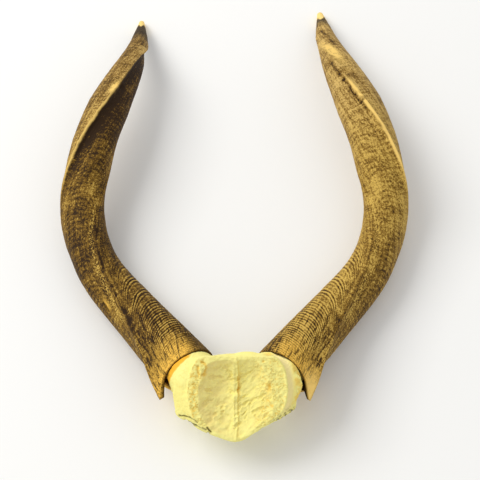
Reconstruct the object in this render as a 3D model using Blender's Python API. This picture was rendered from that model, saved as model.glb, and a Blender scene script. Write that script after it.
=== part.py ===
"""Nyala skull cap: the sawn top of a skull with its pair of spiral horns, lying on the horns.

The bone is a vaulted plate with a flat sawn rim, a shallow two-lobed hollow where the brain
lay, and two bony cores. Each horn is a hollow sheath that sits on one core. It turns once in
a slow spiral, and it carries a front keel, a rear keel that ends in a spur at the base, and
growth rings on the rounded face between them.

Lengths are in millimetres and become metres when a mesh is made. The table is z = 0, the
midline of the skull is x = 0, and the horn tips point to +Y. An animal's left horn is at -X,
because the braincase side of the bone faces up.
"""

from math import radians
from typing import NamedTuple

import bmesh
import bpy
import numpy as np

MILLIMETRE = 0.001

# The sawn plane
PLATE_TILT = 30.4
PLATE_CENTRE = (0.0, -271.6, 72.5)
SAW_CLEARANCE = 7.0
BLOCK_HALF_WIDTH = 120.0
BLOCK_HEIGHT = 60.0
SHARP_EDGE = radians(35)

# Bone plate, as radii round its centre at compass angles, 0 at +X and 90 toward the horn tips
RIM_ANGLES = (0, 18, 28, 40, 60, 75, 90, 105, 120, 135, 157, 180, 195, 212, 237, 252, 270, 292, 310,
              324, 340)
RIM_RADII = (55, 57, 59, 59, 47, 42, 40, 42, 47, 55, 51, 49, 49, 50, 47.5, 47, 49, 45, 44.5, 47, 53)
FLARE_ANGLES = (0, 7, 14, 20, 40, 60, 90, 106, 120, 140, 160, 180, 193, 200, 206, 214, 236, 250, 270,
                281, 292, 310, 324, 333, 340, 347, 354)
FLARE_RADII = (69.5, 73.5, 73, 68, 61, 50, 43, 43.5, 46.5, 59, 63, 65, 64.5, 66, 61.5, 56, 50.5, 49, 51,
               50, 47, 46.5, 51, 57, 62, 67.5, 66.5)
HOLLOW_ANGLES = (0, 16, 40, 58, 75, 90, 105, 120, 131, 157, 180, 206, 234, 255, 270, 290, 316, 346)
HOLLOW_RADII = (39.5, 40.5, 42, 42, 38, 36, 38, 41, 42.5, 39, 37.5, 41, 43, 43.5, 45.5, 41.5, 41, 41)
PLATE_COLUMNS = 48
FLARE_DEPTH = 10.0
VAULT_DEPTH = 27.0
HOLLOW_DEPTH = 12.0
CREST_HEIGHT = 2.8
CREST_WIDTH = 2.6
LOBE_SWELL = 1.6
LOBE_WIDTH = 30.0
HOLLOW_ROWS = (0.12, 0.28, 0.45, 0.62, 0.78, 0.90)
DOME_ROWS = (0, 18, 36, 54, 70, 82)

# Centre line of a horn: distance from the midline, y and z
STATIONS = (
    (48.0, -239.0, 50.0),
    (79.0, -197.0, 40.0),
    (121.0, -141.0, 29.0),
    (152.5, -99.0, 27.0),
    (170.5, -59.0, 32.0),
    (177.5, -1.0, 46.0),
    (169.0, 61.0, 56.0),
    (153.0, 120.0, 57.0),
    (135.5, 175.0, 50.0),
    (124.5, 226.0, 35.0),
    (120.5, 265.0, 20.0),
    (119.0, 305.0, 3.5),
)

# Horn section: mean radius, and how it changes along the centre line
GIRTH_AT = (0, 60, 120, 200, 262, 340, 400, 440, 480, 520, 560, 590, 612)
GIRTH_RADIUS = (28, 27.5, 27, 25.5, 24.5, 26.5, 26, 22.5, 18.5, 14, 9.5, 5.5, 2.5)
TIP_ROUNDING = 3.0
REAR_KEEL_OFFSET = 136.0
KEEL_SPREAD = 14.0

# Direction of the front keel, from the side that faces away from the table toward the midline
TWIST_AT = (-20, 75, 140, 200, 250, 280, 300, 325, 350, 372, 408, 440, 470, 492, 520, 550, 612)
TWIST_ANGLE = (-204, -160, -131, -112, -90, -66, -50, -34, -22, -12, 1, 8, 17, 32, 66, 95, 118)

# Relief of the section, as shares of the mean radius
FRONT_KEEL_AT = (0, 100, 262, 500, 570, 612)
FRONT_KEEL = (0.10, 0.10, 0.14, 0.17, 0.10, 0.0)
REAR_KEEL_AT = (-16, 10, 25, 40, 70, 100, 200, 300, 450, 612)
REAR_KEEL = (0.70, 0.57, 0.46, 0.33, 0.21, 0.16, 0.10, 0.09, 0.05, 0.0)
FLAT_FACE_AT = (0, 60, 180, 262, 300, 350, 410, 470, 540, 612)
FLAT_FACE = (0.0, -0.08, -0.05, 0.10, 0.02, -0.09, -0.06, -0.02, 0.04, 0.0)
ROUND_FACE_AT = (0, 60, 110, 190, 270, 330, 460, 540, 612)
ROUND_FACE = (0.19, 0.09, 0.0, -0.08, -0.09, 0.0, 0.0, -0.07, 0.0)

# Growth rings on the rounded face
RING_PITCH = 9.5
RING_HEIGHT = 1.1
RINGED_LENGTH = 198.0
SMOOTH_ROWS = 30
SECTION_ANGLES = (0, 8, 22, 45, 68, 91, 114, 128, 136, 144, 158, 176, 194, 212, 230, 248,
                  266, 284, 302, 320, 338, 352)

# The edge of a sheath: a spur at the rear keel, and a step back on both sides of the spur
SPUR_LENGTH = 8.0
SPUR_SPREAD = 9.0
EDGE_STEP = 7.0
EDGE_STEP_ANGLE = 170.0
EDGE_STEP_SPREAD = 78.0
EDGE_RISE_ANGLE = 100.0
EDGE_RISE_SPREAD = 30.0

# Socket in the sheath and bony core in the socket
WALL = 3.5
SEAT_GAP = 0.6
SOCKET_DEPTH = 165.0
CORE_LENGTH = 150.0
SOCKET_ROWS = 7
CORE_ROOT = -34.0
CORE_SHOULDER = ((CORE_ROOT, 0.66), (-26.0, 0.83), (-17.0, 0.95), (-9.0, 1.0))
WAIST_ANGLE = 97.0
WAIST_SPREAD = 26.0
NARROWING_AT = (0, 30, 70, 120, SOCKET_DEPTH)
NARROWING = (1.0, 0.90, 0.74, 0.52, 0.26)


class HornShape(NamedTuple):
    """What differs between the two horns.

    The numbers are the side, the extra reach and shift of the tip, the fullness past halfway
    and at the base, the share of the spur that is missing, the rise of the sheath's edge before
    the spur, and how much slimmer the core is on the same side.
    """

    side: int = 1
    reach: float = 0.0
    tip_shift: float = 0.0
    fullness: float = 0.0
    base_fullness: float = 0.0
    spur_slack: float = 0.0
    edge_rise: float = 0.0
    waist: float = 0.0


PLAIN = HornShape()
HORNS = {
    "left_horn": HornShape(-1, -10.0, 5.0, -0.045, 0.05, 0.22, 14.0, 0.17),
    "right_horn": HornShape(1, 4.5, -3.5, 0.045, 0.0, 0.0, 0.0, 0.0),
}
FULLNESS_START = 240.0
FULLNESS_SPAN = 120.0
BASE_SPAN = 80.0

HORN_COLOUR = (0.23, 0.15, 0.07, 1.0)
BONE_COLOUR = (0.87, 0.78, 0.50, 1.0)

TILT = radians(PLATE_TILT)
SAW_NORMAL = np.array((0.0, -np.sin(TILT), np.cos(TILT)))
PLATE_UP = np.array((0.0, np.cos(TILT), np.sin(TILT)))


def clear_scene():
    """Remove whatever objects the scene starts with."""
    for item in list(bpy.data.objects):
        bpy.data.objects.remove(item, do_unlink=True)


def make_material(name, colour, roughness):
    """A plain material with one colour and one roughness."""
    material = bpy.data.materials.new(name)
    material.use_nodes = True
    shader = material.node_tree.nodes["Principled BSDF"]
    shader.inputs["Base Color"].default_value = colour
    shader.inputs["Roughness"].default_value = roughness
    shader.inputs["Metallic"].default_value = 0.0
    material.diffuse_color = colour
    return material


def loft(name, start, loops, end, material=None):
    """A closed solid through equal loops of points, with a point to close each end."""
    loops = [np.asarray(loop) for loop in loops]
    count = len(loops[0])
    points = np.vstack([start] + loops + [end]) * MILLIMETRE
    last = len(points) - 1
    faces = []
    for column in range(count):
        after = (column + 1) % count
        faces.append((0, 1 + after, 1 + column))
        for row in range(len(loops) - 1):
            low = 1 + row * count
            high = low + count
            faces.append((low + column, low + after, high + after, high + column))
        top = 1 + (len(loops) - 1) * count
        faces.append((top + column, top + after, last))
    mesh = bpy.data.meshes.new(name)
    mesh.from_pydata(points.tolist(), [], faces)
    work = bmesh.new()
    work.from_mesh(mesh)
    bmesh.ops.recalc_face_normals(work, faces=work.faces)
    work.to_mesh(mesh)
    work.free()
    mesh.shade_smooth()
    mesh.set_sharp_from_angle(angle=SHARP_EDGE)
    if material:
        mesh.materials.append(material)
    solid = bpy.data.objects.new(name, mesh)
    bpy.context.scene.collection.objects.link(solid)
    return solid


def natural_spline(keys, values, at):
    """Cubic curve with straight ends through values at keys, read at the places in at."""
    count = len(keys)
    steps = np.diff(keys)
    matrix = np.eye(count)
    right = np.zeros_like(values)
    for i in range(1, count - 1):
        matrix[i, i - 1:i + 2] = (steps[i - 1], 2 * (steps[i - 1] + steps[i]), steps[i])
        slope_after = (values[i + 1] - values[i]) / steps[i]
        slope_before = (values[i] - values[i - 1]) / steps[i - 1]
        right[i] = 6 * (slope_after - slope_before)
    bend = np.linalg.solve(matrix, right)
    span = np.clip(np.searchsorted(keys, at) - 1, 0, count - 2)
    step = steps[span][..., None]
    before = (keys[span + 1] - at)[..., None] / step
    after = 1 - before
    straight = before * values[span] + after * values[span + 1]
    curved = (before ** 3 - before) * bend[span] + (after ** 3 - after) * bend[span + 1]
    return straight + curved * step ** 2 / 6


STATION_POINTS = np.array(STATIONS)
STATION_AT = np.concatenate(([0.0], np.cumsum(np.linalg.norm(np.diff(STATION_POINTS, axis=0), axis=1))))
HORN_LENGTH = STATION_AT[-1]


def centre_line(s, horn):
    """Points of a horn's centre line at distance s, drawn on straight past both ends."""
    inside = np.clip(s, 0.0, HORN_LENGTH)
    ends = natural_spline(STATION_AT, STATION_POINTS, np.array((0.0, 1.0, HORN_LENGTH - 1.0, HORN_LENGTH)))
    points = natural_spline(STATION_AT, STATION_POINTS, inside)
    points = points + np.minimum(s, 0.0)[..., None] * (ends[1] - ends[0])
    points = points + np.maximum(s - HORN_LENGTH, 0.0)[..., None] * (ends[3] - ends[2])
    share = inside / HORN_LENGTH
    points[..., 0] += horn.tip_shift * share ** 6
    points[..., 1] += horn.reach * share ** 3
    return points


def around(phi, centre):
    """Angle from centre to phi, between -180 and 180."""
    return (phi - centre + 180.0) % 360.0 - 180.0


def section_radius(s, phi, horn, keels):
    """Radius of the section at distance s and angle phi from the front keel."""
    near_base = np.clip(1 - s / BASE_SPAN, 0, 1)
    gain = horn.fullness * np.clip((s - FULLNESS_START) / FULLNESS_SPAN, 0, 1)
    gain = gain + horn.base_fullness * near_base
    mean = np.interp(s, GIRTH_AT, GIRTH_RADIUS) * (1 + gain)
    turn = phi % 360.0
    flat = np.where(turn < REAR_KEEL_OFFSET, np.sin(np.pi * turn / REAR_KEEL_OFFSET) ** 2, 0.0)
    past = (turn - REAR_KEEL_OFFSET) / (360.0 - REAR_KEEL_OFFSET)
    round_side = np.where(past > 0, np.sin(np.pi * past) ** 2, 0.0)
    shape = 1 - flat * np.interp(s, FLAT_FACE_AT, FLAT_FACE)
    shape = shape + round_side * np.interp(s, ROUND_FACE_AT, ROUND_FACE)
    if keels:
        front = np.exp(-np.abs(around(phi, 0.0)) / KEEL_SPREAD)
        rear = np.exp(-np.abs(around(phi, REAR_KEEL_OFFSET)) / KEEL_SPREAD)
        shape = shape + front * np.interp(s, FRONT_KEEL_AT, FRONT_KEEL)
        rear = rear * (1 - horn.spur_slack * near_base)
        shape = shape + rear * np.interp(s, REAR_KEEL_AT, REAR_KEEL)
    return mean * shape


def ring_relief(s, phi):
    """Height of the growth rings, which stand on the rounded face and fade along the horn."""
    past = (phi % 360.0 - REAR_KEEL_OFFSET) / (360.0 - REAR_KEEL_OFFSET)
    face = np.clip(np.sin(np.pi * np.clip(past, 0, 1)) * 2.2, 0, 1)
    fade = np.clip((RINGED_LENGTH - s) / 60, 0, 1) * np.clip(s / 12, 0, 1)
    return RING_HEIGHT * face * fade * np.cos(2 * np.pi * s / RING_PITCH)


def sheath_edge(phi, horn):
    """Place of the sheath's lower edge along the centre line, at angle phi."""
    spur = np.exp(-(np.abs(around(phi, REAR_KEEL_OFFSET)) / SPUR_SPREAD) ** 1.3)
    step = np.exp(-(around(phi, EDGE_STEP_ANGLE) / EDGE_STEP_SPREAD) ** 2)
    rise = horn.edge_rise * np.exp(-(around(phi, EDGE_RISE_ANGLE) / EDGE_RISE_SPREAD) ** 2)
    return (EDGE_STEP * step + rise) * (1 - spur) - SPUR_LENGTH * spur


def place(s, phi, radius, horn):
    """Points at radius from the centre line of a horn, at distance s and angle phi."""
    centre = centre_line(s, horn)
    ahead = centre_line(s + 0.5, horn) - centre_line(s - 0.5, horn)
    ahead /= np.linalg.norm(ahead, axis=-1, keepdims=True)
    up = SAW_NORMAL - (ahead @ SAW_NORMAL)[..., None] * ahead
    up /= np.linalg.norm(up, axis=-1, keepdims=True)
    inward = np.cross(up, ahead)
    angle = np.radians(np.interp(s, TWIST_AT, TWIST_ANGLE) + phi)[..., None]
    points = centre + radius[..., None] * (np.cos(angle) * up + np.sin(angle) * inward)
    points[..., 0] *= horn.side
    return points


def narrowing(s):
    """Share of the base's girth that is left inside the horn at distance s."""
    return np.interp(s, NARROWING_AT, NARROWING)


def make_sheath(name, horn, material):
    """One horn: the ringed and keeled outside, the edge and the socket, as one loft."""
    phi = np.array(SECTION_ANGLES, dtype=float)
    edge = sheath_edge(phi, horn)
    ringed = np.arange(0.0, RINGED_LENGTH, RING_PITCH / 2)
    smooth = np.linspace(RINGED_LENGTH + RING_PITCH / 2, HORN_LENGTH, SMOOTH_ROWS)
    outside = []
    for along in np.concatenate((ringed, smooth)):
        s = edge * (1 - along / HORN_LENGTH) + along
        radius = section_radius(s, phi, horn, keels=True) + ring_relief(along, phi)
        outside.append(place(s, phi, radius, horn))
    blunt = np.full_like(phi, HORN_LENGTH + 0.7 * TIP_ROUNDING)
    outside.append(place(blunt, phi, np.full_like(phi, 0.6 * GIRTH_RADIUS[-1]), horn))
    inside = []
    for along in np.linspace(SOCKET_DEPTH, 0.0, SOCKET_ROWS):
        s = edge * (1 - along / SOCKET_DEPTH) + along
        radius = section_radius(s * 0.0, phi, PLAIN, keels=False) * narrowing(along)
        keel = section_radius(s, phi, horn, keels=True) - section_radius(s, phi, horn, keels=False)
        radius = radius + keel * (1 - along / SOCKET_DEPTH) - WALL
        inside.append(place(s, phi, radius, horn))
    socket_end = place(np.array([SOCKET_DEPTH + 3.0]), np.zeros(1), np.zeros(1), horn)
    tip = place(np.array([HORN_LENGTH + TIP_ROUNDING]), np.zeros(1), np.zeros(1), horn)
    return loft(name, socket_end, inside + outside, tip, material)


def make_core(name, horn):
    """The bony core of one horn, from inside the plate to its end in the socket."""
    phi = np.array(SECTION_ANGLES, dtype=float)
    waist = horn.waist * np.exp(-(around(phi, WAIST_ANGLE) / WAIST_SPREAD) ** 2)
    base = section_radius(phi * 0.0, phi, PLAIN, keels=False) * (1 - waist)
    edge = sheath_edge(phi, PLAIN)
    loops = []
    for s, share in CORE_SHOULDER:
        loops.append(place(np.full_like(phi, s), phi, base * share, horn))
    shoulder = np.clip(edge - 2 * SEAT_GAP, -4.0, None)
    loops.append(place(shoulder, phi, base - SEAT_GAP, horn))
    loops.append(place(shoulder + SEAT_GAP, phi, base - WALL - SEAT_GAP, horn))
    for along in np.linspace(12.0, CORE_LENGTH, SOCKET_ROWS):
        s = np.full_like(phi, along)
        loops.append(place(s, phi, base * narrowing(along) - WALL - SEAT_GAP, horn))
    root = place(np.array([CORE_ROOT - 2.0]), np.zeros(1), np.zeros(1), horn)
    end = place(np.array([CORE_LENGTH + 3.0]), np.zeros(1), np.zeros(1), horn)
    return loft(name, root, loops, end)


def on_plate(x, up, depth):
    """Table coordinates of plate coordinates: across, along the sawn plane and behind it."""
    across = np.array((1.0, 0.0, 0.0))
    return (np.array(PLATE_CENTRE) + x[..., None] * across + up[..., None] * PLATE_UP
            - depth[..., None] * SAW_NORMAL)


def compass_radius(angles, radii, at):
    """Radius of a closed outline, read between its compass angles."""
    return np.interp(at, angles, radii, period=360.0)


def plate_loop(radius, theta, depth):
    """A loop round the centre of the plate."""
    x = radius * np.cos(np.radians(theta))
    up = radius * np.sin(np.radians(theta))
    return on_plate(x, up, depth + 0 * x)


def plate_point(depth):
    """A point on the axis of the plate."""
    nought = np.zeros(1)
    return on_plate(nought, nought, nought + depth)


def make_vault(name, material):
    """The bone plate before it is sawn: a flared rim and a dome behind it."""
    theta = np.arange(PLATE_COLUMNS) * 360.0 / PLATE_COLUMNS
    rim = compass_radius(RIM_ANGLES, RIM_RADII, theta)
    flare = compass_radius(FLARE_ANGLES, FLARE_RADII, theta)
    lean = (flare - rim) / FLARE_DEPTH
    loops = [
        plate_loop(rim - lean * SAW_CLEARANCE, theta, -SAW_CLEARANCE),
        plate_loop(rim + lean * FLARE_DEPTH * 0.25, theta, FLARE_DEPTH * 0.4),
        plate_loop(rim + lean * FLARE_DEPTH * 0.7, theta, FLARE_DEPTH * 0.75),
    ]
    for turn in np.radians(DOME_ROWS):
        depth = FLARE_DEPTH + (VAULT_DEPTH - FLARE_DEPTH) * np.sin(turn)
        loops.append(plate_loop(flare * np.cos(turn), theta, depth))
    return loft(name, plate_point(-SAW_CLEARANCE), loops, plate_point(VAULT_DEPTH), material)


def make_hollow(name):
    """The space of the brain: two lobes with a sharp crest of bone between them."""
    theta = np.arange(PLATE_COLUMNS) * 360.0 / PLATE_COLUMNS
    outline = compass_radius(HOLLOW_ANGLES, HOLLOW_RADII, theta)
    loops = []
    for share in HOLLOW_ROWS:
        radius = outline * share
        across = np.abs(radius * np.cos(np.radians(theta)))
        bowl = HOLLOW_DEPTH * (1 - share ** 3.2) * (0.86 + 0.14 * np.sin(np.radians(theta)))
        lobe = LOBE_SWELL * np.sin(np.clip(across / LOBE_WIDTH, 0, 1) * np.pi) * (1 - share ** 4)
        crest = CREST_HEIGHT * np.exp(-across / CREST_WIDTH) * (1 - 0.4 * share ** 2)
        loops.append(plate_loop(radius, theta, np.maximum(bowl + lobe - crest, -1.0)))
    loops.append(plate_loop(outline, theta, 0.0))
    loops.append(plate_loop(outline * 1.03, theta, -SAW_CLEARANCE - 3.0))
    bottom = plate_point(HOLLOW_DEPTH * 0.86 - CREST_HEIGHT)
    return loft(name, bottom, loops, plate_point(-SAW_CLEARANCE - 3.0))


def make_saw_block(name):
    """A block whose lower face is the sawn plane."""
    theta = np.arange(45.0, 360.0, 90.0)
    sole = plate_loop(BLOCK_HALF_WIDTH, theta, 0.0)
    top = plate_loop(BLOCK_HALF_WIDTH, theta, -BLOCK_HEIGHT)
    return loft(name, plate_point(0.0), [sole, top], plate_point(-BLOCK_HEIGHT))


def add_boolean(target, tool, operation):
    """Join or cut target with tool, and keep tool out of the model."""
    modifier = target.modifiers.new(tool.name, "BOOLEAN")
    modifier.operation = operation
    modifier.object = tool
    modifier.solver = "EXACT"
    tool.hide_render = True
    tool.display_type = "WIRE"


def main():
    """Build the skull cap and its two horns."""
    clear_scene()
    horn_material = make_material("horn", HORN_COLOUR, 0.5)
    bone_material = make_material("bone", BONE_COLOUR, 0.6)
    cap = make_vault("skull_cap", bone_material)
    for name, horn in HORNS.items():
        make_sheath(name, horn, horn_material)
        add_boolean(cap, make_core(name.replace("horn", "core"), horn), "UNION")
    add_boolean(cap, make_saw_block("saw_block"), "DIFFERENCE")
    add_boolean(cap, make_hollow("brain_hollow"), "DIFFERENCE")


main()
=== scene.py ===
"""The looks of a nyala skull cap: ringed horn sheaths with worn keels on a sawn cream bone.

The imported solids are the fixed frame. Each of them is replaced by a finer piece of the same
shape, made by the same rule: a grid round a horn's centre line for the sheaths, and a vaulted
plate with two cores for the bone. Geometry Nodes then raise what repeats over the surfaces,
such as growth rings, fibres and pores, and leave masks for the finishes to read.

Shapes are worked out in millimetres and become metres when a mesh is made.
"""

from __future__ import annotations

import logging
from dataclasses import dataclass, field
from enum import Enum
from math import radians
from typing import Any, Callable, ClassVar, Mapping, Sequence, Union

import bpy
import numpy as np
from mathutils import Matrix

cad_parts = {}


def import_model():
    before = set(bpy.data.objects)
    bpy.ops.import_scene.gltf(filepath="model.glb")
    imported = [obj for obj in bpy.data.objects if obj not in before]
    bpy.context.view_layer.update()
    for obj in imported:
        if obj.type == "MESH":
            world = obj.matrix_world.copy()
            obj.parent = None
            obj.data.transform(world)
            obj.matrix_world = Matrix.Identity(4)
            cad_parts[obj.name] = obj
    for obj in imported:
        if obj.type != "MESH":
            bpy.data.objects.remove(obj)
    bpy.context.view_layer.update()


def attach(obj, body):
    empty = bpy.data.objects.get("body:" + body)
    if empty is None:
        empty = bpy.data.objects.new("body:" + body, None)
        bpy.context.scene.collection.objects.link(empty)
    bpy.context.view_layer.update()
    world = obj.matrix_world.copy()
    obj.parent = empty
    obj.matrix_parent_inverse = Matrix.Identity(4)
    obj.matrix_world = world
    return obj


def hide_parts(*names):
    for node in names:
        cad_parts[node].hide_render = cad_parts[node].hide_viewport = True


LOG = logging.getLogger("nyala_skull_cap")
MILLIMETRE = 0.001
REAR_KEEL = 136.0
Array = np.ndarray
Piece = bpy.types.Object
Pair = tuple[float, float]
Triple = tuple[float, float, float]
Row = tuple[float, ...]
Number = Union[int, float]
Key = Union[int, str]


def linear(colour: Triple) -> Row:
    """Turn a colour as seen on a screen into the linear colour that a shader takes, with full alpha."""
    red, green, blue = (((part + 0.055) / 1.055) ** 2.4 if part > 0.04 else part / 12.92 for part in colour)
    return (red, green, blue, 1.0)


def maths(operation: str, swapped: bool = False) -> Callable[[Wire, Any], Wire]:
    """Make an operator that adds one Math node.

    Args:
        operation: The node's operation.
        swapped: Whether the other value goes in first.

    Returns:
        The operator, as a method of Wire.
    """
    def operator(self: Wire, other: Wire | Number) -> Wire:
        """The wire of the result."""
        return self.math(operation, *((other, self) if swapped else (self, other)))

    return operator


class Wire:
    """One output socket, with arithmetic that adds Math nodes to its tree."""

    __add__ = maths("ADD")
    __radd__ = maths("ADD", swapped=True)
    __sub__ = maths("SUBTRACT")
    __rsub__ = maths("SUBTRACT", swapped=True)
    __mul__ = maths("MULTIPLY")
    __rmul__ = maths("MULTIPLY", swapped=True)
    __truediv__ = maths("DIVIDE")
    __rtruediv__ = maths("DIVIDE", swapped=True)
    __pow__ = maths("POWER")
    __gt__ = maths("GREATER_THAN")
    __lt__ = maths("LESS_THAN")

    def __init__(self, board: Board, socket: bpy.types.NodeSocket) -> None:
        """Keep the socket and the board that it is on."""
        self.board = board
        self.socket = socket

    def math(self, operation: str, *values: Wire | Number) -> Wire:
        """Add a Math node with an operation and the values for its sockets, in order."""
        return self.board.add("ShaderNodeMath", {"operation": operation}, dict(enumerate(values)))

    def __neg__(self) -> Wire:
        """Opposite."""
        return self * -1.0

    def __abs__(self) -> Wire:
        """Size without sign."""
        return self.math("ABSOLUTE", self)

    def wrapped(self, low: Number, high: Number) -> Wire:
        """Bring the value between low and high by whole turns."""
        return self.math("WRAP", self, high, low)

    def clamped(self) -> Wire:
        """Hold the value between nought and one."""
        return self.board.add("ShaderNodeClamp", inputs={"Value": self})

    def rising(self, low: Wire | Number, high: Wire | Number) -> Wire:
        """Nought below low, one above high and a smooth rise between them."""
        ends = {"Value": self, "From Min": low, "From Max": high}
        return self.board.add("ShaderNodeMapRange", {"interpolation_type": "SMOOTHSTEP"}, ends)

    def falling(self, low: Number, high: Number) -> Wire:
        """One below low, nought above high and a smooth fall between them."""
        return 1.0 - self.rising(low, high)

    def between(self, foot: Number, top: Number, edge: Number, end: Number) -> Wire:
        """Rise from foot to top, stay at one and fall from edge to end."""
        return self.rising(foot, top) * self.falling(edge, end)

    def bell(self, centre: Wire | Number, width: Wire | Number) -> Wire:
        """A smooth bump of height one round centre."""
        away = (self - centre) / width
        return (-(away * away)).exponential()

    def exponential(self) -> Wire:
        """The number e to this power."""
        return self.math("EXPONENT", self)

    def sine(self) -> Wire:
        """Sine of an angle in radians."""
        return self.math("SINE", self)

    def cycle(self) -> Wire:
        """One at each whole number and nought half way between them, in a smooth wave."""
        turn = self * (2.0 * np.pi)
        return self.math("COSINE", turn) * 0.5 + 0.5


class Board:
    """A node tree under construction."""

    def __init__(self, tree: bpy.types.NodeTree) -> None:
        """Start from an empty tree."""
        self.tree = tree
        tree.nodes.clear()

    @staticmethod
    def find(sockets: Any, key: Key) -> bpy.types.NodeSocket:
        """The socket at a place, or the one in use with a name."""
        named = (socket for socket in sockets if socket.name == key and socket.enabled)
        return sockets[key] if isinstance(key, int) else next(named)

    def add(self, kind: str, settings: Mapping[str, Any] | None = None,
            inputs: Mapping[Key, Any] | None = None, output: Key = 0) -> Wire:
        """Add a node.

        Args:
            kind: The node's type.
            settings: Its properties, set first. The word stops holds a ramp's places and colours.
            inputs: Values or wires for its sockets, by place or name.
            output: The output to return, by place or name.

        Returns:
            The wire of that output.
        """
        node = self.tree.nodes.new(kind)
        for name, value in (settings or {}).items():
            if name == "stops":
                ramp = node.color_ramp
                while len(ramp.elements) < len(value):
                    ramp.elements.new(0.5)
                for element, (place, colour) in zip(ramp.elements, value):
                    element.position = place
                    element.color = colour
            else:
                setattr(node, name, value)
        for key, value in (inputs or {}).items():
            socket = self.find(node.inputs, key)
            if isinstance(value, Wire):
                self.tree.links.new(value.socket, socket)
            else:
                socket.default_value = value
        return Wire(self, self.find(node.outputs, output) if node.outputs else None)

    def read(self, mask: Mask, output: str = "Fac") -> Wire:
        """The wire of a mask, for a finish."""
        return self.add("ShaderNodeAttribute", {"attribute_name": mask.value}, output=output)

    def noise(self, place: Wire, scale: Number, detail: Number = 3.0, roughness: Number = 0.5) -> Wire:
        """Soft noise from nought to one at a place."""
        knobs = {"Vector": place, "Scale": scale, "Detail": detail, "Roughness": roughness}
        return self.add("ShaderNodeTexNoise", {"noise_dimensions": "3D"}, knobs)

    def stretched(self, place: Wire, stretch: Triple) -> Wire:
        """A place scaled along its three axes."""
        return self.add("ShaderNodeVectorMath", {"operation": "MULTIPLY"}, {0: place, 1: stretch})

    def joined(self, first: Wire, second: Wire | Number, third: Wire | Number = 0.0) -> Wire:
        """A vector of three numbers."""
        return self.add("ShaderNodeCombineXYZ", inputs={"X": first, "Y": second, "Z": third})

    def flat(self, vector: Wire) -> tuple[Wire, Wire]:
        """The first two numbers of a place, in millimetres."""
        split = self.add("ShaderNodeSeparateXYZ", inputs={"Vector": vector})
        return split / MILLIMETRE, Wire(self, split.socket.node.outputs[1]) / MILLIMETRE

    def coated(self, colour: Any, *coats: tuple[Wire, Triple]) -> Wire:
        """Lay coats over a colour, in order.

        Args:
            colour: The colour below, as linear numbers or a wire.
            coats: How much of each coat shows, and its colour as seen.

        Returns:
            The wire of the last colour.
        """
        for share, over in coats:
            knobs = {0: share, 6: colour, 7: linear(over)}
            colour = self.add("ShaderNodeMix", {"data_type": "RGBA", "clamp_factor": True}, knobs, 2)
        return colour

    def bump(self, strength: float, distance: float, height: Wire) -> Wire:
        """A bumped normal, with its depth in metres."""
        knobs = {"Strength": strength, "Distance": distance, "Height": height}
        return self.add("ShaderNodeBump", inputs=knobs, output="Normal")


@dataclass
class FlatMap:
    """Two coordinates on the sawn plane, with soft marks drawn by them."""

    across: Wire
    up: Wire

    def spot(self, centre: Pair, reach: Pair) -> Wire:
        """A round soft spot: one at its centre, falling to nought past its half widths."""
        return self.across.bell(centre[0], reach[0]) * self.up.bell(centre[1], reach[1])

    def stroke(self, start: Pair, end: Pair, width: float) -> Wire:
        """Draw a soft straight stroke.

        Args:
            start: One end of the stroke.
            end: Its other end.
            width: Its half width.

        Returns:
            One on the stroke, falling to nought beside it.
        """
        run = (end[0] - start[0], end[1] - start[1])
        square = run[0] ** 2 + run[1] ** 2
        share = (self.across - start[0]) * (run[0] / square) + (self.up - start[1]) * (run[1] / square)
        share = share.clamped()
        return FlatMap(self.across - share * run[0], self.up - share * run[1]).spot(start, (width, width))


class Mask(Enum):
    """Names of the attributes that the geometry leaves for the finishes."""

    STRAIGHT = "straight"
    ALONG = "along"
    TURN = "turn"
    OUTWARD = "outward"
    GROOVE = "groove"
    ROUND_FACE = "round_face"
    RIDGE = "ridge"
    LIP = "lip"
    SHELF = "shelf"
    DEEP_FACE = "deep_face"
    FURROW = "furrow"
    RECESS = "recess"
    SCAR = "scar"
    WOUND = "wound"
    PATCH = "patch"
    STREAK = "streak"
    INSIDE = "inside"
    PLATE = "plate"
    SAWN = "sawn"
    HOLLOW = "hollow"
    SEAT = "seat"
    SHARE = "share"
    FOLD = "fold"
    STAIN = "stain"
    CREVICE = "crevice"
    BEYOND = "beyond"
    VALLEY = "valley"
    FLANK = "flank"


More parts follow.
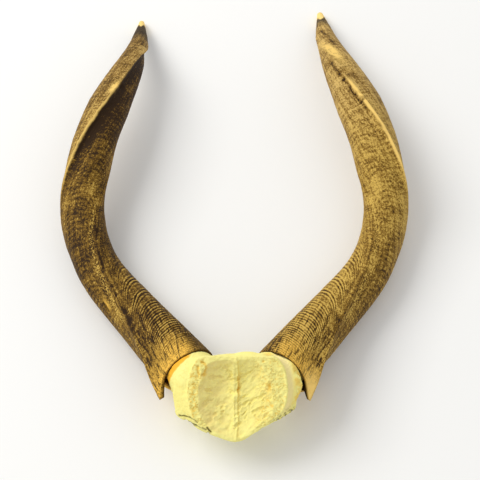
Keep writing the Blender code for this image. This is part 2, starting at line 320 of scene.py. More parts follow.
class ReliefTree:
    """A Geometry Nodes tree with named inputs, which moves points and stores masks."""

    def __init__(self, name: str, sizes: Mapping[str, float], place: Mask) -> None:
        """Make the tree's sockets and the start of its chain.

        Args:
            name: The tree's name.
            sizes: Its named inputs and their usual values.
            place: The attribute at which its noises are read.
        """
        self.tree = bpy.data.node_groups.new(name, "GeometryNodeTree")
        self.board = Board(self.tree)
        self.keys: dict[str, str] = {}
        self.socket("Geometry", "INPUT", "Geometry")
        self.socket("Material", "INPUT", "Material")
        self.socket("Geometry", "OUTPUT", "Geometry")
        for size, value in sizes.items():
            self.socket(size, "INPUT", "Float").default_value = value
        self.geometry = self.size("Geometry")
        shift = self.board.joined(self.size("Seed"), 0.0, self.size("Seed"))
        knobs = {0: self.attribute(place, "FLOAT_VECTOR"), 1: shift}
        self.here = self.board.add("ShaderNodeVectorMath", {"operation": "ADD"}, knobs)

    def socket(self, name: str, way: str, kind: str) -> Any:
        """Add a socket to the tree's interface, and remember the identifier of an input.

        Args:
            name: The socket's name.
            way: INPUT or OUTPUT.
            kind: What it carries.

        Returns:
            The socket.
        """
        item = self.tree.interface.new_socket(name=name, in_out=way, socket_type=f"NodeSocket{kind}")
        if way == "INPUT":
            self.keys[name] = item.identifier
        return item

    def size(self, name: str) -> Wire:
        """The wire of a named input."""
        return self.board.add("NodeGroupInput", output=name)

    def attribute(self, mask: Mask, kind: str = "FLOAT") -> Wire:
        """The wire of an attribute of the mesh."""
        node = "GeometryNodeInputNamedAttribute"
        return self.board.add(node, {"data_type": kind}, {"Name": mask.value}, "Attribute")

    def ripple(self, scale: Number, detail: Number = 3.0, roughness: Number = 0.5) -> Wire:
        """Soft noise between minus a half and a half."""
        return self.board.noise(self.here, scale, detail, roughness) - 0.5

    def patches(self, scale: Number, detail: Number, low: Number, high: Number,
                roughness: Number = 0.5) -> Wire:
        """Soft patches: one where the noise is above high, nought where it is below low."""
        return self.board.noise(self.here, scale, detail, roughness).rising(low, high)

    def store(self, masks: Mapping[Mask, Wire]) -> None:
        """Keep values on every point for the finishes.

        Args:
            masks: The attributes to make, with their values.
        """
        for mask, value in masks.items():
            settings = {"data_type": "FLOAT", "domain": "POINT"}
            knobs = {"Geometry": self.geometry, "Name": mask.value, "Value": value}
            self.geometry = self.board.add("GeometryNodeStoreNamedAttribute", settings, knobs)

    def close(self, height: Wire) -> None:
        """Raise the points, and end the chain in Realize Instances, Set Material and the output.

        Args:
            height: How far each point moves outward, in millimetres.
        """
        knobs = {"Vector": self.attribute(Mask.OUTWARD, "FLOAT_VECTOR"), "Scale": height * MILLIMETRE}
        offset = self.board.add("ShaderNodeVectorMath", {"operation": "SCALE"}, knobs)
        knobs = {"Geometry": self.geometry, "Offset": offset}
        moved = self.board.add("GeometryNodeSetPosition", inputs=knobs)
        real = self.board.add("GeometryNodeRealizeInstances", inputs={"Geometry": moved})
        knobs = {"Geometry": real, "Material": self.size("Material")}
        dressed = self.board.add("GeometryNodeSetMaterial", inputs=knobs)
        self.board.add("NodeGroupOutput", inputs={"Geometry": dressed})

    def apply(self, piece: Piece, values: Mapping[str, Any]) -> None:
        """Run the tree on a piece and keep the result as its plain mesh.

        Args:
            piece: The object to change.
            values: Values of the named inputs that differ from the usual ones.
        """
        modifier = piece.modifiers.new(self.tree.name, "NODES")
        modifier.node_group = self.tree
        for name, value in values.items():
            modifier[self.keys[name]] = value
        settle(piece)


def settle(piece: Piece) -> None:
    """Turn what the modifiers make into the piece's own plain mesh, and remove them.

    Args:
        piece: The object to change.
    """
    bpy.context.view_layer.update()
    depsgraph = bpy.context.evaluated_depsgraph_get()
    evaluated = piece.evaluated_get(depsgraph)
    mesh = bpy.data.meshes.new_from_object(evaluated, preserve_all_data_layers=True, depsgraph=depsgraph)
    old = piece.data
    piece.modifiers.clear()
    piece.data = mesh
    mesh.name = piece.name
    bpy.data.meshes.remove(old)


def join(piece: Piece, others: Sequence[Piece]) -> None:
    """Add other objects to a piece's mesh, and remove them."""
    with bpy.context.temp_override(active_object=piece, selected_editable_objects=[piece, *others]):
        bpy.ops.object.join()


def loft(name: str, start: Array, loops: Sequence[Array], end: Array) -> Piece:
    """Make a closed solid through equal loops of points, with a point to close each end.

    Args:
        name: The object's name.
        start: The point before the first loop.
        loops: The loops, each an array of points.
        end: The point after the last loop.

    Returns:
        The object, with its faces pointing outward.
    """
    count = len(loops[0])
    rows = len(loops)
    points = np.vstack([start.reshape(1, 3), np.concatenate(loops), end.reshape(1, 3)]) * MILLIMETRE
    grid = 1 + np.arange(rows * count).reshape(rows, count)
    after = np.roll(grid, -1, axis=1)
    quads = np.stack([grid[:-1], after[:-1], after[1:], grid[1:]], axis=-1).reshape(-1, 4)
    last = len(points) - 1
    first_fan = np.stack([np.zeros(count, int), after[0], grid[0]], axis=-1)
    last_fan = np.stack([grid[-1], after[-1], np.full(count, last)], axis=-1)
    triangles = np.concatenate([first_fan, last_fan, quads[:, [0, 1, 2]], quads[:, [0, 2, 3]]])
    corners = points[triangles]
    volume = np.einsum("ij,ij->i", corners[:, 0], np.cross(corners[:, 1], corners[:, 2])).sum()
    faces = [*first_fan.tolist(), *last_fan.tolist(), *quads.tolist()]
    mesh = bpy.data.meshes.new(name)
    mesh.from_pydata(points.tolist(), [], faces)
    if volume < 0:
        mesh.flip_normals()
    mesh.shade_smooth()
    piece = bpy.data.objects.new(name, mesh)
    bpy.context.scene.collection.objects.link(piece)
    return piece


def set_masks(piece: Piece, masks: Mapping[Mask, Array]) -> None:
    """Store numbers or vectors on the points of a piece.

    Args:
        piece: The object.
        masks: The attributes to make, with one number or one vector for each point.
    """
    for mask, values in masks.items():
        kind, slot = ("FLOAT_VECTOR", "vector") if values.ndim == 2 else ("FLOAT", "value")
        attribute = piece.data.attributes.new(mask.value, kind, "POINT")
        attribute.data.foreach_set(slot, np.ascontiguousarray(values, dtype=np.float32).ravel())


def around(angle: Array, centre: float) -> Array:
    """Angle from centre, between -180 and 180 degrees."""
    return (angle - centre + 180.0) % 360.0 - 180.0


def hump(angle: Array, centre: float, spread: float) -> Array:
    """A smooth bump of height one round an angle."""
    return np.exp(-(around(angle, centre) / spread) ** 2)


def ramp(value: Array, low: float, high: float) -> Array:
    """Nought below low, one above high and a smooth rise between them."""
    share = np.clip((value - low) / (high - low), 0.0, 1.0)
    return share * share * (3.0 - 2.0 * share)


@dataclass(frozen=True)
class SawnPlane:
    """The flat saw cut through the skull, with its own coordinates across, up and behind."""

    tilt: float = 30.4
    centre: Triple = (0.0, -271.6, 72.5)

    @property
    def normal(self) -> Array:
        """The direction that the cut faces."""
        return np.array((0.0, -np.sin(radians(self.tilt)), np.cos(radians(self.tilt))))

    @property
    def upward(self) -> Array:
        """The direction in the cut that runs toward the horn tips."""
        return np.array((0.0, np.cos(radians(self.tilt)), np.sin(radians(self.tilt))))

    def place(self, across: Array, up: Array, depth: Array) -> Array:
        """Turn plate coordinates into table coordinates.

        Args:
            across: Distance to the side.
            up: Distance toward the horn tips.
            depth: Distance behind the cut.

        Returns:
            The points on the table.
        """
        sideways = np.array((1.0, 0.0, 0.0))
        return (np.array(self.centre) + across[..., None] * sideways + up[..., None] * self.upward
                - depth[..., None] * self.normal)

    def read(self, points: Array) -> Array:
        """Plate coordinates of table coordinates: across, up and depth."""
        away = points - np.array(self.centre)
        return np.stack([away[:, 0], away @ self.upward, -(away @ self.normal)], axis=-1)


@dataclass
class Horn:
    """One horn sheath, as a grid round a centre line that turns once in a slow spiral."""

    name: str
    side: int
    reach: float
    tip_shift: float
    fullness: float
    base_fullness: float
    seed: float
    lip_end: float
    chips: tuple[Triple, ...]
    spur_slack: float = 0.0
    edge_rise: float = 0.0
    waist: float = 0.0
    plane: SawnPlane = field(default_factory=SawnPlane)
    stations: tuple[Triple, ...] = (
        (48.0, -239.0, 50.0),
        (79.0, -197.0, 40.0),
        (121.0, -141.0, 29.0),
        (152.5, -99.0, 27.0),
        (170.5, -59.0, 32.0),
        (177.5, -1.0, 46.0),
        (169.0, 61.0, 56.0),
        (153.0, 120.0, 57.0),
        (135.5, 175.0, 50.0),
        (124.5, 226.0, 35.0),
        (120.5, 265.0, 20.0),
        (119.0, 305.0, 3.5),
    )
    girth_at: Row = (0, 60, 120, 200, 262, 340, 400, 440, 480, 520, 560, 590, 612)
    girth: Row = (28, 27.5, 27, 25.5, 24.5, 26.5, 26, 22.5, 18.5, 14, 9.5, 5.5, 2.5)
    twist_at: Row = (-20, 75, 140, 200, 250, 280, 300, 325, 350, 372, 408, 440, 470, 492, 520, 550, 612)
    twist: Row = (-204, -160, -131, -112, -90, -66, -50, -34, -22, -12, 1, 8, 17, 32, 66, 95, 118)
    front_keel_at: Row = (0, 100, 262, 500, 570, 612)
    front_keel: Row = (0.10, 0.10, 0.14, 0.17, 0.10, 0.0)
    rear_keel_at: Row = (-16, 10, 25, 40, 70, 100, 200, 300, 450, 612)
    rear_keel: Row = (0.70, 0.57, 0.46, 0.33, 0.21, 0.16, 0.10, 0.09, 0.05, 0.0)
    flat_face_at: Row = (0, 60, 180, 262, 300, 350, 410, 470, 540, 612)
    flat_face: Row = (0.0, -0.08, -0.05, 0.10, 0.02, -0.09, -0.06, -0.02, 0.04, 0.0)
    round_face_at: Row = (0, 60, 110, 190, 270, 330, 460, 540, 612)
    round_face: Row = (0.19, 0.09, 0.0, -0.08, -0.09, 0.0, 0.0, -0.07, 0.0)
    base_reach: float = 80.0
    fullness_start: float = 240.0
    fullness_rise: float = 120.0
    keel_spread: float = 14.0
    tip_rounding: float = 3.0
    spur_length: float = 8.0
    spur_spread: float = 9.0
    edge_step: float = 7.0
    edge_step_angle: float = 170.0
    edge_step_spread: float = 78.0
    edge_rise_angle: float = 100.0
    edge_rise_spread: float = 30.0
    waist_angle: float = 97.0
    waist_spread: float = 26.0
    chip_spread: float = 16.0
    wall: float = 3.5
    socket_depth: float = 165.0
    columns: int = 144
    column_spread: float = 22.0
    inner_rows: int = 24
    row_runs: tuple[Triple, ...] = ((0.0, 60.0, 0.36), (60.0, 210.0, 0.85))
    tip_rows: int = 280
    tip_caps: tuple[Pair, ...] = ((0.35, 0.93), (0.62, 0.76), (0.84, 0.5))

    def __post_init__(self) -> None:
        """Work out the length of the centre line and the bend at each station."""
        self.points = np.array(self.stations)
        steps = np.linalg.norm(np.diff(self.points, axis=0), axis=1)
        self.keys = np.concatenate(([0.0], np.cumsum(steps)))
        self.length = float(self.keys[-1])
        count = len(self.keys)
        matrix = np.eye(count)
        right = np.zeros_like(self.points)
        slopes = np.diff(self.points, axis=0) / steps[:, None]
        for i in range(1, count - 1):
            matrix[i, i - 1:i + 2] = (steps[i - 1], 2 * (steps[i - 1] + steps[i]), steps[i])
            right[i] = 6 * (slopes[i] - slopes[i - 1])
        self.bend = np.linalg.solve(matrix, right)

    def _curve(self, at: Array) -> Array:
        """Draw the cubic curve through the stations.

        Args:
            at: Distances between nought and the length.

        Returns:
            The points on the curve.
        """
        span = np.clip(np.searchsorted(self.keys, at) - 1, 0, len(self.keys) - 2)
        step = (self.keys[span + 1] - self.keys[span])[..., None]
        before = (self.keys[span + 1] - at)[..., None] / step
        after = 1 - before
        straight = before * self.points[span] + after * self.points[span + 1]
        curved = (before ** 3 - before) * self.bend[span] + (after ** 3 - after) * self.bend[span + 1]
        return straight + curved * step ** 2 / 6

    def centre_line(self, s: Array) -> Array:
        """Draw the centre line, straight on past both ends.

        Args:
            s: Distances along it.

        Returns:
            The points, with this horn's own lean and length.
        """
        inside = np.clip(s, 0.0, self.length)
        ends = self._curve(np.array((0.0, 1.0, self.length - 1.0, self.length)))
        points = self._curve(inside)
        points = points + np.minimum(s, 0.0)[..., None] * (ends[1] - ends[0])
        points = points + np.maximum(s - self.length, 0.0)[..., None] * (ends[3] - ends[2])
        share = inside / self.length
        points[..., 0] += self.tip_shift * share ** 6
        points[..., 1] += self.reach * share ** 3
        return points

    def section_radius(self, s: Array, phi: Array, keels: bool = True, fullness: bool = True) -> Array:
        """Find the radius of the section.

        Args:
            s: Distance along the centre line.
            phi: Angle from the front keel, in degrees.
            keels: Whether the two keels stand on it.
            fullness: Whether this horn's own fullness counts.

        Returns:
            The radius at each place.
        """
        near_base = np.clip(1 - s / self.base_reach, 0, 1)
        gain = self.fullness * np.clip((s - self.fullness_start) / self.fullness_rise, 0, 1)
        gain = gain + self.base_fullness * near_base
        mean = np.interp(s, self.girth_at, self.girth) * (1 + gain * fullness)
        turn = phi % 360.0
        flat = np.where(turn < REAR_KEEL, np.sin(np.pi * turn / REAR_KEEL) ** 2, 0.0)
        past = (turn - REAR_KEEL) / (360.0 - REAR_KEEL)
        rounded = np.where(past > 0, np.sin(np.pi * past) ** 2, 0.0)
        shape = 1 - flat * np.interp(s, self.flat_face_at, self.flat_face)
        shape = shape + rounded * np.interp(s, self.round_face_at, self.round_face)
        if keels:
            front = np.exp(-np.abs(around(phi, 0.0)) / self.keel_spread)
            rear = np.exp(-np.abs(around(phi, REAR_KEEL)) / self.keel_spread)
            shape = shape + front * np.interp(s, self.front_keel_at, self.front_keel)
            rear = rear * (1 - self.spur_slack * near_base)
            shape = shape + rear * np.interp(s, self.rear_keel_at, self.rear_keel)
        return mean * shape

    def edge(self, phi: Array, risen: bool = True) -> Array:
        """Find the sheath's lower edge.

        Args:
            phi: Angle from the front keel, in degrees.
            risen: Whether its rise counts.

        Returns:
            Its place along the centre line.
        """
        spur = np.exp(-(np.abs(around(phi, REAR_KEEL)) / self.spur_spread) ** 1.3)
        step = hump(phi, self.edge_step_angle, self.edge_step_spread)
        rise = self.edge_rise * hump(phi, self.edge_rise_angle, self.edge_rise_spread)
        return (self.edge_step * step + rise * risen) * (1 - spur) - self.spur_length * spur

    def core_radius(self, phi: Array) -> Array:
        """Radius of the bony core at its widest, with its waist."""
        waist = self.waist * hump(phi, self.waist_angle, self.waist_spread)
        return self.section_radius(phi * 0, phi, keels=False, fullness=False) * (1 - waist)

    def frame_at(self, s: Array, phi: Array) -> tuple[Array, Array]:
        """Find the centre line and the outward direction.

        Args:
            s: Distances along the centre line.
            phi: Angles from the front keel, in degrees.

        Returns:
            The points of the centre line and the directions.
        """
        centre = self.centre_line(s)
        ahead = self.centre_line(s + 0.5) - self.centre_line(s - 0.5)
        ahead /= np.linalg.norm(ahead, axis=-1, keepdims=True)
        normal = self.plane.normal
        up = normal - (ahead @ normal)[..., None] * ahead
        up /= np.linalg.norm(up, axis=-1, keepdims=True)
        inward = np.cross(up, ahead)
        angle = np.radians(np.interp(s, self.twist_at, self.twist) + phi)[..., None]
        outward = np.cos(angle) * up + np.sin(angle) * inward
        mirror = np.array((self.side, 1.0, 1.0))
        return centre * mirror, outward * mirror

    def place(self, s: Array, phi: Array, radius: Array) -> Array:
        """Points at a radius from the centre line."""
        centre, outward = self.frame_at(s, phi)
        return centre + radius[..., None] * outward

    def narrowing(self, s: Number) -> float:
        """Share of the base's girth that is left inside the horn at distance s."""
        return float(np.interp(s, (0, 30, 70, 120, self.socket_depth), (1.0, 0.90, 0.74, 0.52, 0.26)))

    def on_axis(self, s: float) -> Array:
        """The point of the centre line at distance s."""
        return self.place(np.array([s]), np.zeros(1), np.zeros(1))

    def chip_depth(self, s: Array, phi: Array) -> Array:
        """Find how deep the front keel is broken away.

        Args:
            s: Distances along the centre line.
            phi: Angles from the front keel, in degrees.

        Returns:
            The depth at each place.
        """
        depth = np.zeros_like(s)
        for middle, half, deep in self.chips:
            depth = np.maximum(depth, deep * (1 - ramp(np.abs(s - middle), half * 0.6, half)))
        return depth * hump(phi, 0.0, self.chip_spread)

    def column_angles(self) -> Array:
        """Spread the grid's columns, closer together at the two keels.

        Returns:
            Their angles, in degrees.
        """
        fine = np.linspace(0.0, 360.0, 3601)
        near = hump(fine, 0.0, self.column_spread) + 0.7 * hump(fine, REAR_KEEL, self.column_spread)
        total = np.concatenate(([0.0], np.cumsum(1 + 1.8 * near[1:])))
        shares = np.arange(self.columns) / self.columns
        return np.interp(shares, total / total[-1], fine)

    def bare_sheath(self) -> Piece:
        """Make the sheath without its rings: the outside, the edge and the socket.

        Returns:
            The sheath with the attributes that the relief reads.
        """
        phi = self.column_angles()
        edge = self.edge(phi)
        rows = [np.arange(*run) for run in self.row_runs]
        rows = np.concatenate((*rows, np.linspace(self.row_runs[-1][1], self.length, self.tip_rows)))
        rings = []
        for along in np.linspace(self.socket_depth, 0.0, self.inner_rows):
            share = 1 - along / self.socket_depth
            s = edge * share + along
            radius = self.section_radius(s * 0, phi, keels=False, fullness=False) * self.narrowing(along)
            keel = (self.section_radius(s, phi, fullness=False)
                    - self.section_radius(s, phi, keels=False, fullness=False))
            rings.append((s, radius + keel * share - self.wall, 0.0))
        for along in rows:
            s = edge * (1 - along / self.length) + along
            rings.append((s, self.section_radius(s, phi) - self.chip_depth(s, phi), 1.0))
        for extra, share in self.tip_caps:
            s = np.full_like(phi, self.length + extra * self.tip_rounding)
            rings.append((s, np.full_like(phi, share * self.girth[-1]), 0.0))
        piece = loft(self.name, self.on_axis(self.socket_depth + 3.0),
                     [self.place(s, phi, radius) for s, radius, _ in rings],
                     self.on_axis(self.length + self.tip_rounding))
        nought = np.zeros((1, 3))
        first = np.array([[self.socket_depth, 0.0, 0.0]])
        last = np.array([[self.length + self.tip_rounding, 0.0, 0.0]])
        places = [np.stack([s, phi, radius], axis=-1) for s, radius, _ in rings]
        along, turn, radius = np.concatenate([first, *places, last]).T
        angle = np.radians(turn)
        straight = np.stack([radius * np.cos(angle), radius * np.sin(angle), along], axis=-1)
        outward = [self.frame_at(s, phi)[1] * raised for s, _, raised in rings]
        inner_points = 1 + self.inner_rows * self.columns
        set_masks(piece, {
            Mask.STRAIGHT: straight * MILLIMETRE,
            # The inner rows, which the finish paints in the shadow colour as painted shade.
            Mask.INSIDE: (np.arange(len(along)) < inner_points).astype(float),
            Mask.ALONG: along,
            Mask.TURN: turn,
            Mask.OUTWARD: np.concatenate([nought, *outward, nought]),
        })
        return piece

    def dress(self, sheath: Piece, relief: SheathRelief, skin: bpy.types.Material,
              marks: Mapping[str, float]) -> None:
        """Raise the sheath's relief, with this horn's own marks, and give it its skin."""
        values = {"Material": skin, "Seed": self.seed, "Lip End": self.lip_end}
        relief.apply(sheath, {**values, **marks})


class SheathRelief(ReliefTree):
    """The tree that raises rings, fibres, worn lips and old wounds on a sheath, in millimetres."""

    SIZES: ClassVar[dict[str, float]] = {
        "First Pitch": 2.6,
        "Pitch Growth": 0.021,
        "Groove Depth": 1.15,
        "Ringed Length": 185.0,
        "Droop": 52.0,
        "Droop Spread": 24.0,
        "Wander": 3.0,
        "Raggedness": 2.6,
        "Fine Pitch": 1.9,
        "Fine Depth": 0.35,
        "Face Line Pitch": 6.2,
        "Face Line Depth": 0.20,
        "Lip Height": 1.3,
        "Lip Width": 8.0,
        "Lip Recess": 3.4,
        "Lip Start": 262.0,
        "Lip End": 545.0,
        "Crack Place": 26.0,
        "Crack Depth": 0.0,
        "Fissure Start": 0.0,
        "Fissure End": 0.0,
        "Patch Strength": 0.0,
        "Patch Place": 483.0,
        "Patch Reach": 22.0,
        "Patch Turn": -17.0,
        "Patch Spread": 15.0,
        "Furrow Depth": 1.5,
        "Furrow Strength": 1.0,
        "Fibre Depth": 0.22,
        "Dent Depth": 0.8,
        "Grain Depth": 0.3,
        "Seed": 0.0,
    }

    def __init__(self) -> None:
        """Read the places on the sheath, raise everything and close the tree."""
        super().__init__("sheath_relief", self.SIZES, Mask.STRAIGHT)
        self.along = self.attribute(Mask.ALONG)
        self.turn = self.attribute(Mask.TURN)
        self.front = self.turn.wrapped(-180.0, 180.0)
        self.rear = (self.turn - REAR_KEEL).wrapped(-180.0, 180.0)
        self.split = self.size("Fissure End") > 1.0
        self.reach = self.along
        self.grooves = self.along
        height = self.rings() + self.lips() + self.wounds()
        height = height + self.ripple(75.0, 3.0, 0.55) * self.size("Dent Depth")
        height = height + self.ripple(420.0, 2.0, 0.6) * self.size("Grain Depth")
        calm_tip = self.along.falling(560.0, 600.0) * 0.85 + 0.15
        self.close(height * calm_tip)

    def rings(self) -> Wire:
        """Raise the growth rings of the round face and the arched lines of the flat face.

        Returns:
            Their height, with that of the fibres.
        """
        along, size = self.along, self.size
        past = (self.turn - REAR_KEEL) / (360.0 - REAR_KEEL)
        round_face = ((past * np.pi).sine() * 2.4).clamped()
        flat_face = ((self.turn / REAR_KEEL * np.pi).sine() * 2.0).clamped() * (self.turn < REAR_KEEL)
        droop = size("Droop") * (along.rising(-6.0, 55.0) * 0.7 + 0.3)
        at_rear = droop * (-(abs(self.rear) / size("Droop Spread"))).exponential()
        at_front = droop * (-(abs(self.front) / size("Droop Spread"))).exponential()
        wander = self.ripple(22.0, 2.0) * size("Wander") * 2.0
        self.reach = along + at_rear + at_front * 0.35 + wander + self.ripple(105.0) * size("Raggedness")

        growth = size("Pitch Growth")
        grown = growth * self.reach / size("First Pitch") + 1.0
        phase = grown.math("LOGARITHM", grown, np.e) / growth
        wave = phase.cycle()
        strength = self.board.add("ShaderNodeTexNoise", {"noise_dimensions": "1D"},
                                  {"W": phase * 0.43, "Scale": 1.0})
        ringed = round_face * (1.0 - (along / size("Ringed Length")).rising(0.70, 1.12))
        begun = ringed * (along.rising(-10.0, 26.0) * 0.70 + 0.30)
        ring = wave ** 3.2 * (strength * 2.8 - 0.78).clamped() * begun
        ring = ring * (self.ripple(45.0, 2.0) * 3.4 + 0.85).clamped()
        # The crests of the rings, where the finish paints highlight.
        ridge = (1.0 - wave) ** 5.0 * begun * (strength * 1.9 - 0.35).clamped()
        fine = (self.reach / size("Fine Pitch")).cycle() * self.patches(80.0, 2.0, 0.40, 0.62)
        fine = fine * round_face * along.falling(150.0, 290.0)
        arches = (along + at_rear * 0.8 + at_front * 0.9 + wander) / size("Face Line Pitch")
        arch = arches.cycle() ** 3.0 * self.patches(60.0, 1.0, 0.30, 0.62) * flat_face
        arch = arch * along.between(60.0, 150.0, 330.0, 440.0)
        # The grooves, where the finish paints shade.
        self.grooves = ring + arch * 0.42 + fine * 0.22
        self.store({Mask.RIDGE: ridge, Mask.ROUND_FACE: round_face})
        fibre_place = self.board.stretched(self.here, (420.0, 420.0, 22.0))
        fibres = (self.board.noise(fibre_place, 1.0, 3.0, 0.6) - 0.5) * (1.2 - ringed) * 2.0
        height = fibres * size("Fibre Depth") - ring * size("Groove Depth")
        return height - arch * size("Face Line Depth") - fine * size("Fine Depth")

    def lips(self) -> Wire:
        """Raise the worn lip of the front keel, with the shelf and the recess beside it.

        Returns:
            Their height.
        """
        along, front, size = self.along, self.front, self.size
        window = along.rising(size("Lip Start"), 325.0) * (along - size("Lip End")).falling(-26.0, 4.0)
        ledge = front + self.ripple(95.0) * 7.0
        notch = along.bell(size("Fissure Start") + 3.0, 3.2) * self.split
        lip = (ledge + size("Lip Width")).rising(1.5, 4.5) * ledge.falling(2.0, 6.0) * window
        lip = lip * (1.0 - notch) * (self.ripple(170.0) * 0.9 + 1.0)
        # The shelf beside the lip, which the finish paints lighter as painted light.
        shelf = ledge.between(-48.0, -4.0, 0.0, 5.0) * window
        recess = ledge.rising(4.0, 11.0) * front.falling(24.0, 66.0) * window
        # Painted shade in the recess beside the lip, in patches: the mask that the finish darkens.
        painted_shade = ledge.rising(3.0, 7.0) * front.falling(10.0, 46.0) * window
        painted_shade = painted_shade * (self.patches(110.0, 3.0, 0.30, 0.62) * 0.8 + 0.2)
        # The deep face past the lip, which the finish paints in shade.
        deep_face = ledge.rising(1.0, 8.0) * front.falling(70.0, 130.0)
        deep_face = deep_face * along.between(295.0, 365.0, 500.0, 560.0)
        self.store({Mask.LIP: lip, Mask.SHELF: shelf, Mask.RECESS: painted_shade, Mask.DEEP_FACE: deep_face})
        return (lip * 0.6 + shelf * 0.4) * size("Lip Height") - recess * size("Lip Recess")

    def wounds(self) -> Wire:
        """Cut the furrow above the spur, the crack, the scar and the fissure, and rub the patches.

        Returns:
            Their height.
        """
        along, front, size = self.along, self.front, self.size
        furrow = self.rear.bell(3.0, 6.0) * along.between(66.0, 80.0, 96.0, 122.0)
        furrow = furrow * self.patches(90.0, 3.0, 0.34, 0.60)
        seam = (self.rear + self.ripple(70.0, 2.0) * 24.0).bell(0.0, 3.0)
        seam = seam * along.between(100.0, 130.0, 210.0, 260.0) * self.patches(110.0, 2.0, 0.40, 0.60)
        scarred = size("Crack Depth") > 0.0
        beside = front + self.ripple(200.0, 2.0) * 6.0 - 96.0
        slit = beside.bell(0.0, 1.5) * along.between(120.0, 123.0, 134.0, 138.0) * scarred
        scar = beside.bell(6.0, 4.5) * along.bell(129.0, 9.0) * scarred
        furrow = (furrow * 1.3 + seam * 0.8 + slit * 1.8).clamped() * size("Furrow Strength")

        crack = (self.reach + self.ripple(140.0) * 2.4).bell(size("Crack Place"), 0.65)
        crack = crack * self.turn.between(205.0, 220.0, 296.0, 312.0) * size("Crack Depth")
        start, end = size("Fissure Start"), size("Fissure End")
        jitter = self.ripple(190.0) * 13.0
        fissure = (front + jitter).bell(11.0, 1.5) * (along > start) * (along < end)
        fissure = fissure * self.patches(260.0, 2.0, 0.36, 0.52)
        hole = along.bell(end, 1.9) * front.bell(11.0, 5.5) * self.split
        step = (along + jitter * 0.4).bell(start, 1.2) * front.bell(6.0, 8.0) * self.split
        wound = (fissure + hole * 1.3 + step * 0.8).clamped()

        patch = front.bell(size("Patch Turn"), size("Patch Spread"))
        patch = (patch * along.bell(size("Patch Place"), size("Patch Reach")) * 1.6).clamped()
        patch = patch * self.patches(190.0, 3.0, 0.30, 0.50) * size("Patch Strength")
        bowed = front - abs(along - 524.0) * 0.75
        streak = bowed.bell(-69.0, 9.0) * along.between(476.0, 494.0, 578.0, 592.0)
        streak = streak + front.bell(13.0, 6.0) * along.between(430.0, 440.0, 466.0, 482.0)
        streak = streak * self.patches(130.0, 3.0, 0.36, 0.54) * self.split
        self.store({Mask.GROOVE: self.grooves + crack, Mask.FURROW: furrow, Mask.SCAR: scar,
                    Mask.WOUND: wound, Mask.PATCH: patch, Mask.STREAK: streak})
        return -(furrow * size("Furrow Depth") + crack + wound * 1.8 + patch * 0.2)


